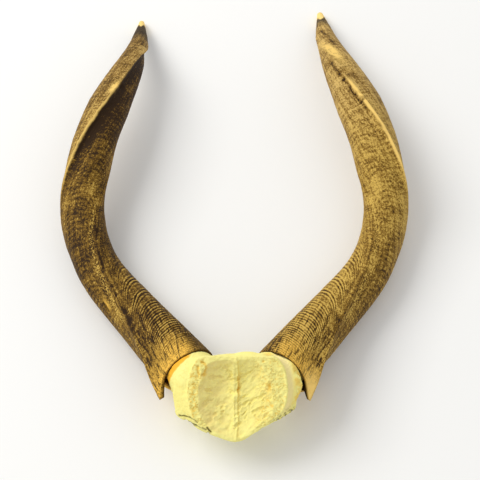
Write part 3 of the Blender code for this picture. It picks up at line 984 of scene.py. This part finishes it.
@dataclass
class SkullBone:
    """The sawn top of the skull: a vaulted plate, the hollow of the brain and two horn cores."""

    name: str = "bone_cap"
    plane: SawnPlane = field(default_factory=SawnPlane)
    rim_angles: Row = (0, 18, 28, 40, 60, 75, 90, 105, 120, 135, 157, 180, 195, 212, 237, 252, 270, 292,
                       310, 324, 340)
    rim: Row = (55, 57, 59, 59, 47, 42, 40, 42, 47, 55, 51, 49, 49, 50, 47.5, 47, 49, 45, 44.5, 47, 53)
    flare_angles: Row = (0, 7, 14, 20, 40, 60, 90, 106, 120, 140, 160, 180, 193, 200, 206, 214, 236, 250,
                         270, 281, 292, 310, 324, 333, 340, 347, 354)
    flare: Row = (69.5, 73.5, 73, 68, 61, 50, 43, 43.5, 46.5, 59, 63, 65, 64.5, 66, 61.5, 56, 50.5, 49,
                  51, 50, 47, 46.5, 51, 57, 62, 67.5, 66.5)
    hollow_angles: Row = (0, 16, 40, 58, 75, 90, 105, 120, 131, 157, 180, 206, 234, 255, 270, 290, 316,
                          346)
    hollow: Row = (39.5, 40.5, 42, 42, 38, 36, 38, 41, 42.5, 39, 37.5, 41, 43, 43.5, 45.5, 41.5, 41, 41)
    columns: int = 192
    rounding: float = 1.8
    rounding_reach: float = 4.5
    stub_columns: int = 96
    core_columns: int = 48
    saw_clearance: float = 7.0
    saw_half: float = 130.0
    saw_height: float = 60.0
    flare_depth: float = 10.0
    vault_depth: float = 27.0
    hollow_depth: float = 12.0
    crest_height: float = 2.8
    crest_width: float = 2.6
    lobe_swell: float = 1.6
    root_rows: tuple[Pair, ...] = (
        (-34.0, 0.66), (-30.0, 0.76), (-26.0, 0.83), (-21.0, 0.90), (-17.0, 0.95), (-9.0, 1.0))
    core_length: float = 150.0
    seat_gap: float = 0.6
    stub: float = 20.0
    voxel: float = 0.78

    def outline(self, angles: Sequence[float], radii: Sequence[float], theta: Array) -> Array:
        """Radius of a closed outline, rounded between its compass angles.

        Args:
            angles: The compass angles where the radius is known.
            radii: The radius at each of them.
            theta: Where to read it.

        Returns:
            The radius at theta.
        """
        total = np.zeros_like(theta)
        weight = 0.0
        for shift in np.linspace(-self.rounding_reach, self.rounding_reach, 11):
            share = np.exp(-(shift / self.rounding) ** 2)
            total += share * np.interp(theta + shift, angles, radii, period=360.0)
            weight += share
        return total / weight

    @staticmethod
    def compass(count: int) -> Array:
        """Even angles round a full turn, in degrees."""
        return np.arange(count) * 360.0 / count

    def loop(self, radius: Array, theta: Array, depth: Any) -> Array:
        """Lay a loop of points round the centre of the plate.

        Args:
            radius: Distance from the centre at each angle.
            theta: The compass angles, in degrees.
            depth: Distance behind the cut.

        Returns:
            The points on the table.
        """
        across = radius * np.cos(np.radians(theta))
        up = radius * np.sin(np.radians(theta))
        return self.plane.place(across, up, depth + 0 * across)

    def axis_point(self, depth: float) -> Array:
        """The point on the plate's axis at a depth."""
        return self.plane.place(np.zeros(1), np.zeros(1), np.zeros(1) + depth)

    def make_vault(self) -> Piece:
        """Make the plate before it is sawn: a flared rim and a dome behind it.

        Returns:
            The plate as a closed solid.
        """
        theta = self.compass(self.columns)
        rim = self.outline(self.rim_angles, self.rim, theta)
        flare = self.outline(self.flare_angles, self.flare, theta)
        lean = (flare - rim) / self.flare_depth
        loops = [self.loop(rim - lean * self.saw_clearance, theta, -self.saw_clearance)]
        for share in np.linspace(0.0, 0.9, 8):
            radius = rim + lean * self.flare_depth * share ** 1.7
            loops.append(self.loop(radius, theta, self.flare_depth * share))
        for turn in np.radians(np.linspace(0.0, 86.0, 24)):
            depth = self.flare_depth + (self.vault_depth - self.flare_depth) * np.sin(turn)
            loops.append(self.loop(flare * np.cos(turn), theta, depth))
        top = self.axis_point(-self.saw_clearance)
        return loft(self.name, top, loops, self.axis_point(self.vault_depth))

    def make_hollow(self) -> Piece:
        """Make the space of the brain: two lobes with a crest of bone between them.

        Returns:
            The space as a closed solid.
        """
        theta = self.compass(self.columns)
        outline = self.outline(self.hollow_angles, self.hollow, theta)
        loops = []
        for share in np.linspace(0.05, 1.0, 26):
            radius = outline * share
            across = radius * np.cos(np.radians(theta))
            bowl = self.hollow_depth * (1 - share ** 3.2) * (0.86 + 0.14 * np.sin(np.radians(theta)))
            lobe = np.sin(np.clip(np.abs(across) / 30.0, 0, 1) * np.pi) * (1 - share ** 4)
            crest = np.exp(-np.abs(across) / self.crest_width) * (1 - 0.4 * share ** 2) * (1 - share ** 8)
            depth = bowl + self.lobe_swell * lobe - self.crest_height * crest
            loops.append(self.loop(radius, theta, depth))
        top = -self.saw_clearance - 3.0
        loops.append(self.loop(outline * 1.03, theta, top))
        bottom = self.axis_point(self.hollow_depth * 0.86 - self.crest_height)
        return loft("brain_hollow", bottom, loops, self.axis_point(top))

    def make_stub(self, horn: Horn) -> Piece:
        """Make the part of one horn core that can be seen, down to its root in the plate.

        Args:
            horn: The horn that it carries.

        Returns:
            The part as a closed solid.
        """
        phi = self.compass(self.stub_columns)
        base = horn.core_radius(phi)
        edge = horn.edge(phi, risen=False)
        loops = []
        for s, share in self.root_rows:
            loops.append(horn.place(np.full_like(phi, s), phi, base * share))
        shoulder = np.clip(edge - 2 * self.seat_gap, -4.0, None)
        loops.append(horn.place(shoulder, phi, base - self.seat_gap))
        loops.append(horn.place(shoulder + self.seat_gap, phi, base - horn.wall - self.seat_gap))
        for along in (12.0, self.stub):
            radius = base * horn.narrowing(along) - horn.wall - self.seat_gap
            loops.append(horn.place(np.full_like(phi, along), phi, radius))
        return loft(f"stub_of_{horn.name}", horn.on_axis(self.root_rows[0][0] - 2.0), loops,
                    horn.on_axis(self.stub + 1.0))

    def make_hidden_core(self, horn: Horn) -> Piece:
        """Make the part of one horn core that is out of sight in its socket.

        Args:
            horn: The horn that it carries.

        Returns:
            The part as a closed solid.
        """
        phi = self.compass(self.core_columns)
        base = horn.core_radius(phi)
        loops = []
        for along in np.linspace(self.stub - 5.0, self.core_length, 30):
            radius = base * horn.narrowing(along) - horn.wall - self.seat_gap - 0.2
            loops.append(horn.place(np.full_like(phi, along), phi, radius))
        return loft(f"core_of_{horn.name}", horn.on_axis(self.stub - 6.0), loops,
                    horn.on_axis(self.core_length + 3.0))

    def make_saw_block(self) -> Piece:
        """Make a block whose lower face is the sawn plane.

        Returns:
            The block as a closed solid.
        """
        theta = np.arange(45.0, 360.0, 90.0)
        loops = [self.loop(np.full(4, self.saw_half), theta, depth) for depth in (0.0, -self.saw_height)]
        return loft("saw_block", self.axis_point(0.0), loops, self.axis_point(-self.saw_height))

    def bare_bone(self, horns: Sequence[Horn]) -> Piece:
        """Join, saw and hollow the bone, and remesh it evenly.

        Args:
            horns: The horns whose cores stand on it.

        Returns:
            The bone with the attributes that the relief reads.
        """
        bone = self.make_vault()
        tools = [(self.make_stub(horn), "UNION") for horn in horns]
        tools += [(self.make_saw_block(), "DIFFERENCE"), (self.make_hollow(), "DIFFERENCE")]
        for tool, operation in tools:
            cut = bone.modifiers.new(tool.name, "BOOLEAN")
            cut.operation = operation
            cut.object = tool
            cut.solver = "EXACT"
        settle(bone)
        for tool, _ in tools:
            bpy.data.objects.remove(tool, do_unlink=True)
        remesh = bone.modifiers.new("even_faces", "REMESH")
        remesh.mode = "VOXEL"
        remesh.voxel_size = self.voxel * MILLIMETRE
        remesh.use_smooth_shade = True
        ease = bone.modifiers.new("eased_edges", "SMOOTH")
        ease.factor = 0.5
        ease.iterations = 2
        settle(bone)
        join(bone, [self.make_hidden_core(horn) for horn in horns])
        self.mark(bone, horns)
        return bone

    def mark(self, bone: Piece, horns: Sequence[Horn]) -> None:
        """Store the plate coordinates and the masks of the saw cut, the hollow and the seats.

        Args:
            bone: The remeshed bone.
            horns: The horns from whose seats the distance is measured.
        """
        count = len(bone.data.vertices)
        points = np.zeros(count * 3, np.float32)
        bone.data.vertices.foreach_get("co", points)
        points = points.reshape(-1, 3) / MILLIMETRE
        normals = np.zeros(count * 3, np.float32)
        bone.data.vertices.foreach_get("normal", normals)
        facing = normals.reshape(-1, 3) @ self.plane.normal
        plate = self.plane.read(points)
        theta = np.degrees(np.arctan2(plate[:, 1], plate[:, 0])) % 360.0
        away = np.hypot(plate[:, 0], plate[:, 1])
        share = away / self.outline(self.hollow_angles, self.hollow, theta)
        front = ramp(facing, 0.25, 0.6)
        hollow = (1 - ramp(share, 0.97, 1.03)) * front * (1 - ramp(plate[:, 2], 14.0, 17.0))
        sawn = ramp(share, 0.97, 1.03) * ramp(facing, 0.9, 0.99) * (1 - ramp(plate[:, 2], 0.7, 1.6))
        seat = np.zeros(count)
        for horn in horns:
            ahead = horn.on_axis(0.5)[0] - horn.on_axis(-0.5)[0]
            along = (points - horn.on_axis(0.0)[0]) @ ahead
            seat = np.where(points[:, 0] * horn.side > 0, along, seat)
        set_masks(bone, {
            Mask.PLATE: plate * MILLIMETRE,
            Mask.SHARE: share,
            Mask.BEYOND: away / self.outline(self.rim_angles, self.rim, theta),
            Mask.HOLLOW: hollow,
            Mask.SAWN: sawn,
            Mask.SEAT: seat,
            Mask.OUTWARD: normals.reshape(-1, 3),
        })

    def dress(self, bone: Piece) -> None:
        """Raise the bone's relief and give it its finish."""
        BoneRelief().apply(bone, {"Material": BoneFinish().make("bone")})


class BoneRelief(ReliefTree):
    """The tree that gives the bone its pores, crest, brain folds and rough places, in millimetres."""

    SIZES: ClassVar[dict[str, float]] = {
        "Crest Height": 1.6,
        "Furrow Depth": 1.5,
        "Fold Height": 3.5,
        "Pore Size": 1.9,
        "Pore Depth": 1.1,
        "Lump Height": 1.3,
        "Unevenness": 1.2,
        "Stipple": 0.45,
        "Seed": 0.0,
    }
    PITS: ClassVar[tuple[tuple[Pair, Pair], ...]] = (
        ((39.7, -11.3), (1.5, 2.0)),
        ((30.6, 35.2), (1.2, 1.0)),
        ((37.0, 42.2), (4.5, 1.2)),
        ((36.5, 8.0), (1.4, 5.0)),
    )
    CREVICES: ClassVar[tuple[tuple[Pair, Pair, float], ...]] = (
        ((-52.0, -28.6), (-41.0, -33.0), 0.9),
        ((-41.0, -33.0), (-30.0, -37.3), 0.8),
        ((-58.0, -22.0), (-47.0, -24.5), 0.7),
        ((-47.0, -24.5), (-39.0, -29.0), 0.7),
        ((-28.5, -35.0), (-24.5, -38.5), 0.8),
    )

    def __init__(self) -> None:
        """Read the places on the bone, raise everything and close the tree."""
        super().__init__("bone_relief", self.SIZES, Mask.PLATE)
        self.across, self.up = self.board.flat(self.attribute(Mask.PLATE, "FLOAT_VECTOR"))
        self.sawn = self.attribute(Mask.SAWN)
        self.hollow = self.attribute(Mask.HOLLOW)
        self.share = self.attribute(Mask.SHARE)
        self.stain: Wire | Number = 0.0
        height = self.brain() + self.pores() + self.marks() + self.sides()
        self.store({Mask.STAIN: self.stain.clamped()})
        self.close(height)

    def brain(self) -> Wire:
        """Raise the crest between the two lobes, and the folds of the brain.

        Returns:
            Their height.
        """
        across, up, hollow, size = self.across, self.up, self.hollow, self.size
        sway = self.ripple(30.0, 2.0) * 3.0
        crest = (across - sway).bell(2.4, 1.1) * (hollow + self.sawn * 0.6).clamped()
        beside = (across - sway).bell(3.9, 0.7) * hollow
        eye = FlatMap(across - sway, up).spot((4.6, 7.5), (1.6, 10.5)) * hollow
        lean = across + self.ripple(26.0, 1.0) * 14.0
        lift = up - abs(across) * 0.25
        place = self.board.joined((lean * 0.80 + lift * 0.60) * 0.075, (lift * 0.80 - lean * 0.60) * 0.145)
        folds = self.board.noise(place, 1.0, 2.0, 0.5) - 0.5
        fold = (1.0 - abs(folds) * 11.0).clamped() * hollow * self.share.falling(0.72, 0.95)
        fold = fold * self.patches(70.0, 1.0, 0.42, 0.58)
        swell = folds * hollow
        self.stain = self.stain + eye * 0.85 + beside * 0.4
        # fold: the folds and crest, which the finish keeps lighter on their crests and paints in shade
        # between them.
        self.store({Mask.FOLD: crest + fold * 0.8 + swell * 3.4})
        height = crest * size("Crest Height") - eye * size("Furrow Depth")
        return height + (fold * 0.45 + swell * 2.0) * size("Fold Height")

    def pores(self) -> Wire:
        """Open the cells of the spongy bone in two bands, with lumps and flecks among them.

        Returns:
            Their height.
        """
        across, sawn, size = self.across, self.sawn, self.size
        left_band = sawn * across.falling(-34.0, -24.0)
        right_band = (sawn + self.hollow * self.share.rising(0.62, 0.86)).clamped()
        right_band = right_band * across.rising(14.0, 30.0)
        band = (left_band * 1.2 + right_band + sawn * 0.42).clamped()
        knobs = {"Vector": self.here, "Scale": 300.0}
        warp = self.board.add("ShaderNodeTexNoise", {"noise_dimensions": "3D"}, knobs, "Color")
        knobs = {0: 0.0025, 4: self.here, 5: warp}
        warped = self.board.add("ShaderNodeMix", {"data_type": "VECTOR"}, knobs, 1)
        cell_scale = 1.0 / (size("Pore Size") * MILLIMETRE)
        cells = self.board.add("ShaderNodeTexVoronoi", {"feature": "DISTANCE_TO_EDGE"},
                               {"Vector": warped, "Scale": cell_scale}, "Distance")
        pore = cells.rising(0.10, 0.30) * band * self.patches(85.0, 3.0, 0.44, 0.58, 0.6)
        lumps = self.ripple(240.0, 2.0) * band
        flecks = self.patches(380.0, 2.0, 0.55, 0.63, 0.6) * (left_band + right_band * 0.7).clamped()
        dots = self.patches(330.0, 2.0, 0.50, 0.58, 0.6) * across.bell(-42.5, 4.0) * sawn
        dots = dots + self.patches(300.0, 2.0, 0.52, 0.60, 0.6) * right_band * 0.15
        dots = dots + self.patches(420.0, 2.0, 0.58, 0.66, 0.6) * across.falling(-42.0, -36.0) * 0.4
        self.stain = self.stain + pore * 0.5 + flecks * 0.8 + dots * 0.9
        return lumps * size("Lump Height") * 2.0 - pore * size("Pore Depth")

    def marks(self) -> Wire:
        """Press in the ring mark, the pits, the two crevices and the gritty patch.

        Returns:
            Their height.
        """
        plain = FlatMap(self.across, self.up)
        shake = self.ripple(130.0, 2.0) * 5.0
        ring = FlatMap(self.across + shake, self.up - shake).spot((-33.6, 26.5), (5.4, 8.6)) * 2.7
        ring = ring.bell(1.35, 0.42) * self.patches(170.0, 2.0, 0.34, 0.54)
        pits = sum(plain.spot(centre, reach) for centre, reach in self.PITS)
        cracked = FlatMap(self.across, self.up + self.ripple(160.0) * 5.0)
        crevice = sum(cracked.stroke(start, end, width) for start, end, width in self.CREVICES)
        crevice = (crevice + plain.spot((-27.5, -41.2), (1.4, 1.4))).clamped()
        grit = plain.stroke((42.0, -31.0), (63.0, -18.5), 4.4) * self.patches(420.0, 2.0, 0.46, 0.56, 0.6)
        self.stain = self.stain + ring * 1.4 + pits
        self.store({Mask.CREVICE: (crevice + grit * 0.95).clamped()})
        return -((ring * 1.4 + pits).clamped() * 1.1 + crevice * 2.0 + grit)

    def sides(self) -> Wire:
        """Shape the rim line with its valley, the rugged flank, the bumpy dome and the fine stipple.

        Returns:
            Their height.
        """
        across, up, hollow = self.across, self.up, self.hollow
        beyond = self.attribute(Mask.BEYOND)
        above = up.rising(-24.0, -12.0)
        valley = beyond.between(1.01, 1.04, 1.11, 1.18) * across.rising(38.0, 46.0) * above * (1.0 - hollow)
        rim_line = beyond.bell(1.0, 0.018) * across.rising(34.0, 42.0) * above
        flank = beyond.rising(1.13, 1.20) * across.rising(50.0, 58.0) * up.rising(-20.0, -8.0)
        slanted = self.board.joined(across * 0.30 - up * 0.18, across * 0.07 + up * 0.11)
        rugged = (self.board.noise(slanted, 1.0, 3.0, 0.6) - 0.5) * flank
        rough_flank = (flank * self.patches(120.0, 3.0, 0.43, 0.55) + rugged * 2.6).clamped()
        # valley: the hollow beside the rim line, which the finish paints with a shade tint.
        self.store({Mask.VALLEY: valley, Mask.FLANK: rough_flank})
        dome = across.falling(-40.0, -32.0) * (1.0 - self.sawn) * (1.0 - hollow)
        bumpy = self.ripple(190.0, 3.0, 0.6) * (dome + self.sawn * 0.4)
        uneven = self.ripple(60.0, 4.0, 0.6) * self.size("Unevenness")
        fine = self.ripple(420.0, 3.0, 0.65) * self.size("Stipple") * (1.0 - hollow * 0.5)
        return rim_line * 1.2 - valley * 1.6 + rugged * 3.0 + uneven + fine * 2.0 + bumpy * 1.5


class Finish:
    """A finish that can be made into a material."""

    def paint(self, board: Board) -> dict[str, Any]:
        """Add the finish's nodes and give the inputs of its shader."""
        raise NotImplementedError

    def make(self, name: str) -> bpy.types.Material:
        """Make the material.

        Args:
            name: The material's name.

        Returns:
            The material, which reads the masks of its piece.
        """
        material = bpy.data.materials.new(name)
        material.use_nodes = True
        board = Board(material.node_tree)
        shader = board.add("ShaderNodeBsdfPrincipled", inputs=self.paint(board), output="BSDF")
        board.add("ShaderNodeOutputMaterial", inputs={"Surface": shader})
        return material


@dataclass(frozen=True)
class HornFinish(Finish):
    """Weathered horn: dark brown and tan fibres, pale worn keels and ivory tips."""

    # Darkening of the whole horn as painted shade; a negative value paints light instead.
    painted_shade: float = 0.0
    # Painted shade on the deep face past the front keel.
    face_painted_shade: float = 0.0
    middle: float = 0.0
    middle_place: float = 265.0
    middle_reach: float = 80.0
    # Painted shade in the recess beside the lip.
    recess_painted_shade: float = 0.0
    # Painted shade on the lateral face, in patches.
    lateral_painted_shade: float = 0.0
    polish: float = 0.4
    # Painted highlight on the crests of the rings.
    ridge_painted_highlight: float = 0.07
    # Painted shade in the ring grooves and the crack.
    groove_painted_shade: float = 0.40
    warmth: float = 0.85
    spur_shine: float = 0.0
    lip_fade: float = 900.0
    tip_start: float = 586.0
    soot_start: float = 530.0
    shadow: Triple = (0.19, 0.12, 0.035)
    body: Triple = (0.52, 0.385, 0.12)
    tan: Triple = (0.83, 0.69, 0.34)
    worn: Triple = (0.95, 0.80, 0.45)
    rust: Triple = (0.99, 0.78, 0.33)
    soot: Triple = (0.15, 0.125, 0.10)
    ivory: Triple = (1.0, 0.86, 0.52)

    def paint(self, board: Board) -> dict[str, Any]:
        """Lay the brown tones of the horn with painted shade and painted highlight in them, and over them
        its worn, stained and ivory places and the painted shade inside the socket.

        Args:
            board: The material's board.

        Returns:
            The inputs of the shader.
        """
        read = board.read
        straight = read(Mask.STRAIGHT, "Vector")
        along = read(Mask.ALONG)
        turn = read(Mask.TURN)
        rear = (turn - REAR_KEEL).wrapped(-180.0, 180.0)
        groove = read(Mask.GROOVE)
        lip = read(Mask.LIP)
        streaks = board.noise(board.stretched(straight, (330.0, 330.0, 26.0)), 1.0, 5.0, 0.62)
        bands = board.noise(board.stretched(straight, (40.0, 40.0, 300.0)), 1.0, 3.0, 0.6)
        clouds = board.noise(straight, 34.0, 4.0, 0.55)
        speckle = board.noise(straight, 620.0, 3.0, 0.7)
        bristle = board.noise(board.stretched(straight, (520.0, 520.0, 75.0)), 1.0, 2.0, 0.6)
        bristle = bristle.rising(0.52, 0.62) * along.falling(30.0, 110.0)

        # The tone is lowered by the painted shade of the whole horn.
        tone = streaks * 0.46 + clouds * 0.22 + speckle * 0.78 + bands * 0.34 - (0.37 + self.painted_shade * 0.5)
        # Painted shade in the grooves and painted highlight on the crests of the rings.
        tone = tone - groove * self.groove_painted_shade + read(Mask.RIDGE) * self.ridge_painted_highlight - bristle * 0.25
        flecks = rear.bell(-13.0, 5.0) * along.between(85.0, 105.0, 230.0, 262.0)
        tone = tone + flecks * speckle.rising(0.50, 0.62) * 0.22
        tone = tone + along.bell(self.middle_place, self.middle_reach) * self.middle
        # Painted light on the shelf beside the lip, and painted shade on the deep face past it.
        tone = tone + read(Mask.SHELF) * (0.05 + self.painted_shade * 0.3) - read(Mask.DEEP_FACE) * self.face_painted_shade
        tone = tone - read(Mask.FURROW) * 0.27 - read(Mask.WOUND) * 0.3 - read(Mask.STREAK) * 0.16
        # Painted shade on the lateral face, in patches.
        lateral = (1.0 - read(Mask.ROUND_FACE)) * along.between(30.0, 90.0, 190.0, 270.0)
        tone = tone - lateral * clouds.rising(0.30, 0.55) * self.lateral_painted_shade
        rim_shade = turn.between(222.0, 258.0, 310.0, 340.0) * along.falling(14.0, 46.0)
        # Painted shade in the recess beside the lip.
        tone = tone - read(Mask.RECESS) * self.recess_painted_shade - rim_shade * (clouds * 0.20 + 0.04)
        stops = [(0.36, linear(self.shadow)), (0.52, linear(self.body)), (0.68, linear(self.tan))]
        colour = board.add("ShaderNodeValToRGB", {"stops": stops}, {"Fac": tone}, "Color")
        greyer = {0: along.rising(300.0, 430.0), 6: colour, 7: (1.0, 1.02, 1.45, 1.0)}
        colour = board.add("ShaderNodeMix", {"data_type": "RGBA", "blend_type": "MULTIPLY"}, greyer, 2)

        base = along.falling(2.0, 48.0) * (clouds * 1.6 + 0.06).clamped() * (1.0 - groove * 0.6).clamped()
        base = base * (1.0 - bristle * 0.8) * (1.0 - rear.bell(0.0, 22.0) * 0.55)
        base = base * (speckle * 3.6 - 0.95).clamped() * (turn.falling(202.0, 250.0) * 0.88 + 0.12)
        spur = rear.bell(0.0, 20.0) * along.falling(-3.0, 30.0) * (streaks * 3.4 - 0.55).clamped()
        pale = (lip * 1.3).clamped() * (streaks * 2.2 - 0.45 + self.polish).clamped()
        pale = pale * (1.0 - along.rising(self.lip_fade, self.lip_fade + 45.0) * 0.85)
        pale = (pale + read(Mask.PATCH) * (speckle * 4.2 - 0.75).clamped()).clamped()
        wobble = (board.noise(straight, 90.0, 3.0) - 0.5) * 22.0
        soot = (along + wobble).rising(self.soot_start, self.soot_start + 28.0) * (0.62 + speckle * 0.4)
        tip = (along + wobble * 0.3 + (streaks - 0.5) * 34.0).rising(self.tip_start, self.tip_start + 4.0)
        # The inside of the socket is painted in the shadow colour, as painted shade.
        colour = board.coated(colour, (base * self.warmth, self.rust), (read(Mask.SCAR) * 0.8, self.rust),
                              (spur * self.spur_shine, self.worn), (pale, self.worn), (soot, self.soot),
                              (tip, self.ivory), (read(Mask.INSIDE), self.shadow))
        bump = board.bump(0.8, 0.0010, streaks * 0.8 + speckle * 1.0 + bands * 0.4)
        rough = 0.56 + speckle * 0.22 - lip * 0.08
        return {"Base Color": colour, "Roughness": rough, "Normal": bump, "Specular IOR Level": 0.16}


@dataclass(frozen=True)
class BoneFinish(Finish):
    """Dry cream bone with ochre in its pores and an amber ring where a sheath was seated."""

    cream: Triple = (0.98, 0.935, 0.56)
    beige: Triple = (0.93, 0.845, 0.535)
    pale: Triple = (0.985, 0.95, 0.585)
    # A paler, greyer beige painted as shade in the valley beside the rim.
    valley_shade_tint: Triple = (1.0, 0.93, 0.645)
    ochre: Triple = (0.95, 0.79, 0.34)
    amber: Triple = (0.97, 0.72, 0.20)
    olive: Triple = (0.36, 0.31, 0.14)

    def paint(self, board: Board) -> dict[str, Any]:
        """Lay the cream of the bone, and over it the hollow's beige with its painted shade, the valley's
        painted shade tint, its stains and the amber edge.

        Args:
            board: The material's board.

        Returns:
            The inputs of the shader.
        """
        read = board.read
        plate = read(Mask.PLATE, "Vector")
        across = board.flat(plate)[0]
        clouds = board.noise(plate, 45.0, 4.0, 0.6)
        mottle = board.noise(plate, 190.0, 4.0, 0.65)
        speckle = board.noise(plate, 700.0, 3.0, 0.7)
        # The hollow's beige is partly the inner panel's own colour and partly painted shade, strongest
        # toward the left wall and kept off the crests of the folds.
        deep = across.falling(-26.0, 4.0) * 0.55 + 0.15 + mottle.rising(0.45, 0.65) * 0.25
        deep = deep * read(Mask.HOLLOW) * (1.0 - read(Mask.FOLD) * 0.9).clamped()
        edge = (read(Mask.SEAT) + (clouds - 0.5) * 5.0).rising(-2.0, 0.2) * across.falling(-50.0, -44.0)
        colour = board.coated(linear(self.pale), (clouds.rising(0.40, 0.62), self.cream),
                              # The valley beside the rim gets a paler, greyer beige as painted shade.
                              (deep, self.beige), (read(Mask.VALLEY), self.valley_shade_tint),
                              (read(Mask.STAIN) * 0.85, self.ochre), (read(Mask.FLANK) * 0.75, self.ochre),
                              (edge, self.amber), (read(Mask.CREVICE), self.olive))
        bump = board.bump(0.7, 0.0012, mottle * 0.7 + speckle * 0.6)
        rough = 0.60 + mottle * 0.2
        return {"Base Color": colour, "Roughness": rough, "Normal": bump, "Specular IOR Level": 0.25}


@dataclass(frozen=True)
class PaperFinish(Finish):
    """Plain pale paper for the floor."""

    colour: Triple = (0.96, 0.96, 0.955)

    def paint(self, board: Board) -> dict[str, Any]:
        """Give one even colour."""
        return {"Base Color": linear(self.colour), "Roughness": 0.9, "Specular IOR Level": 0.1}


@dataclass
class Studio:
    """The pale floor, the soft light and the camera that looks down on the object."""

    camera_place: Triple = (0.0, -0.7635, 1.233)
    camera_tilt: float = 30.4
    lens: float = 89.25
    shift: float = 0.0121
    floor_half: float = 3.0
    floor_drop: float = -0.001
    light_place: Triple = (-2.6, 1.1, 3.0)
    light_size: float = 2.6
    light_power: float = 105.0
    light_colour: Triple = (1.0, 0.985, 0.95)
    sky_strength: float = 0.68

    def add_floor(self) -> None:
        """Make the floor."""
        mesh = bpy.data.meshes.new("floor")
        corners = [(side * self.floor_half, end * self.floor_half, self.floor_drop)
                   for side, end in ((-1, -1), (1, -1), (1, 1), (-1, 1))]
        mesh.from_pydata(corners, [], [(0, 1, 2, 3)])
        mesh.materials.append(PaperFinish().make("floor_paper"))
        floor = bpy.data.objects.new("floor", mesh)
        bpy.context.scene.collection.objects.link(floor)

    def add_light(self) -> None:
        """Add a soft square light that faces the object."""
        data = bpy.data.lights.new("window", "AREA")
        data.shape = "SQUARE"
        data.size = self.light_size
        data.energy = self.light_power
        data.color = self.light_colour
        light = bpy.data.objects.new("window", data)
        light.location = self.light_place
        toward = -np.array(self.light_place)
        flat = float(np.hypot(toward[0], toward[1]))
        light.rotation_euler = (float(np.arctan2(flat, -toward[2])), 0.0,
                                float(np.arctan2(toward[1], toward[0])) - radians(90.0))
        bpy.context.scene.collection.objects.link(light)

    def add_sky(self) -> None:
        """Light everything evenly from a white sky."""
        world = bpy.data.worlds.new("studio")
        world.use_nodes = True
        sky = Board(world.node_tree)
        knobs = {"Color": (1.0, 1.0, 1.0, 1.0), "Strength": self.sky_strength}
        sky.add("ShaderNodeOutputWorld", inputs={"Surface": sky.add("ShaderNodeBackground", inputs=knobs)})
        bpy.context.scene.world = world
        bpy.context.scene.view_settings.view_transform = "Standard"

    def add_camera(self) -> None:
        """Add the camera, square to the sawn plane."""
        data = bpy.data.cameras.new("camera")
        data.lens = self.lens
        data.shift_x = self.shift
        camera = bpy.data.objects.new("camera", data)
        camera.location = self.camera_place
        camera.rotation_euler = (radians(self.camera_tilt), 0.0, 0.0)
        bpy.context.scene.collection.objects.link(camera)
        bpy.context.scene.camera = camera

    def build(self) -> None:
        """Make the whole stage."""
        for add in (self.add_floor, self.add_sky, self.add_light, self.add_camera):
            add()


def main() -> None:
    """Build the stage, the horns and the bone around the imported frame."""
    logging.basicConfig(level=logging.INFO, format="%(message)s")
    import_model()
    Studio().build()

    horns = [
        Horn("left_sheath", side=-1, reach=-10.0, tip_shift=5.0, fullness=-0.045, base_fullness=0.05,
             seed=0.0, lip_end=540.0, chips=((424.0, 4.0, 1.8),), spur_slack=0.22, edge_rise=14.0,
             waist=0.17),
        Horn("right_sheath", side=1, reach=4.5, tip_shift=-3.5, fullness=0.045, base_fullness=0.0,
             seed=3.7, lip_end=432.0, chips=((397.0, 3.0, 1.6), (438.0, 6.0, 3.4))),
    ]
    relief = SheathRelief()
    # The left horn's finish is a copy darkened as painted shade and the right's a copy lightened as painted
    # light, over the same horn colours.
    skins = [
        HornFinish(painted_shade=0.06, face_painted_shade=0.13, middle=-0.07, middle_place=205.0, middle_reach=42.0,
                   recess_painted_shade=0.20, warmth=1.7, ridge_painted_highlight=0.22, groove_painted_shade=0.33, lip_fade=385.0,
                   tip_start=582.0).make("dark_horn"),
        HornFinish(painted_shade=-0.11, middle=0.02, recess_painted_shade=0.03, lateral_painted_shade=0.08, warmth=1.2,
                   ridge_painted_highlight=0.32, groove_painted_shade=0.23, spur_shine=1.25, tip_start=580.0,
                   soot_start=550.0).make("golden_horn"),
    ]
    marks = [
        {"Crack Place": 30.0, "Crack Depth": 0.9, "Ringed Length": 178.0, "Lip Width": 2.5,
         "Raggedness": 3.4, "Patch Strength": 1.2, "Patch Place": 416.0, "Patch Reach": 9.0,
         "Patch Turn": -5.0, "Patch Spread": 6.5},
        {"Fissure Start": 386.0, "Fissure End": 428.0, "Patch Strength": 1.0, "Ringed Length": 205.0,
         "Groove Depth": 0.95, "Lip Width": 6.0, "Furrow Strength": 0.35},
    ]
    for horn, skin, mark, node in zip(horns, skins, marks, ("left_horn", "right_horn")):
        piece = horn.bare_sheath()
        horn.dress(piece, relief, skin, mark)
        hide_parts(node)
        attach(piece, "root")
        LOG.info("%s: %d faces", piece.name, len(piece.data.polygons))

    skull = SkullBone()
    cap = skull.bare_bone(horns)
    skull.dress(cap)
    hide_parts("skull_cap")
    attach(cap, "root")
    LOG.info("%s: %d faces", cap.name, len(cap.data.polygons))


if __name__ == "__main__":
    main()
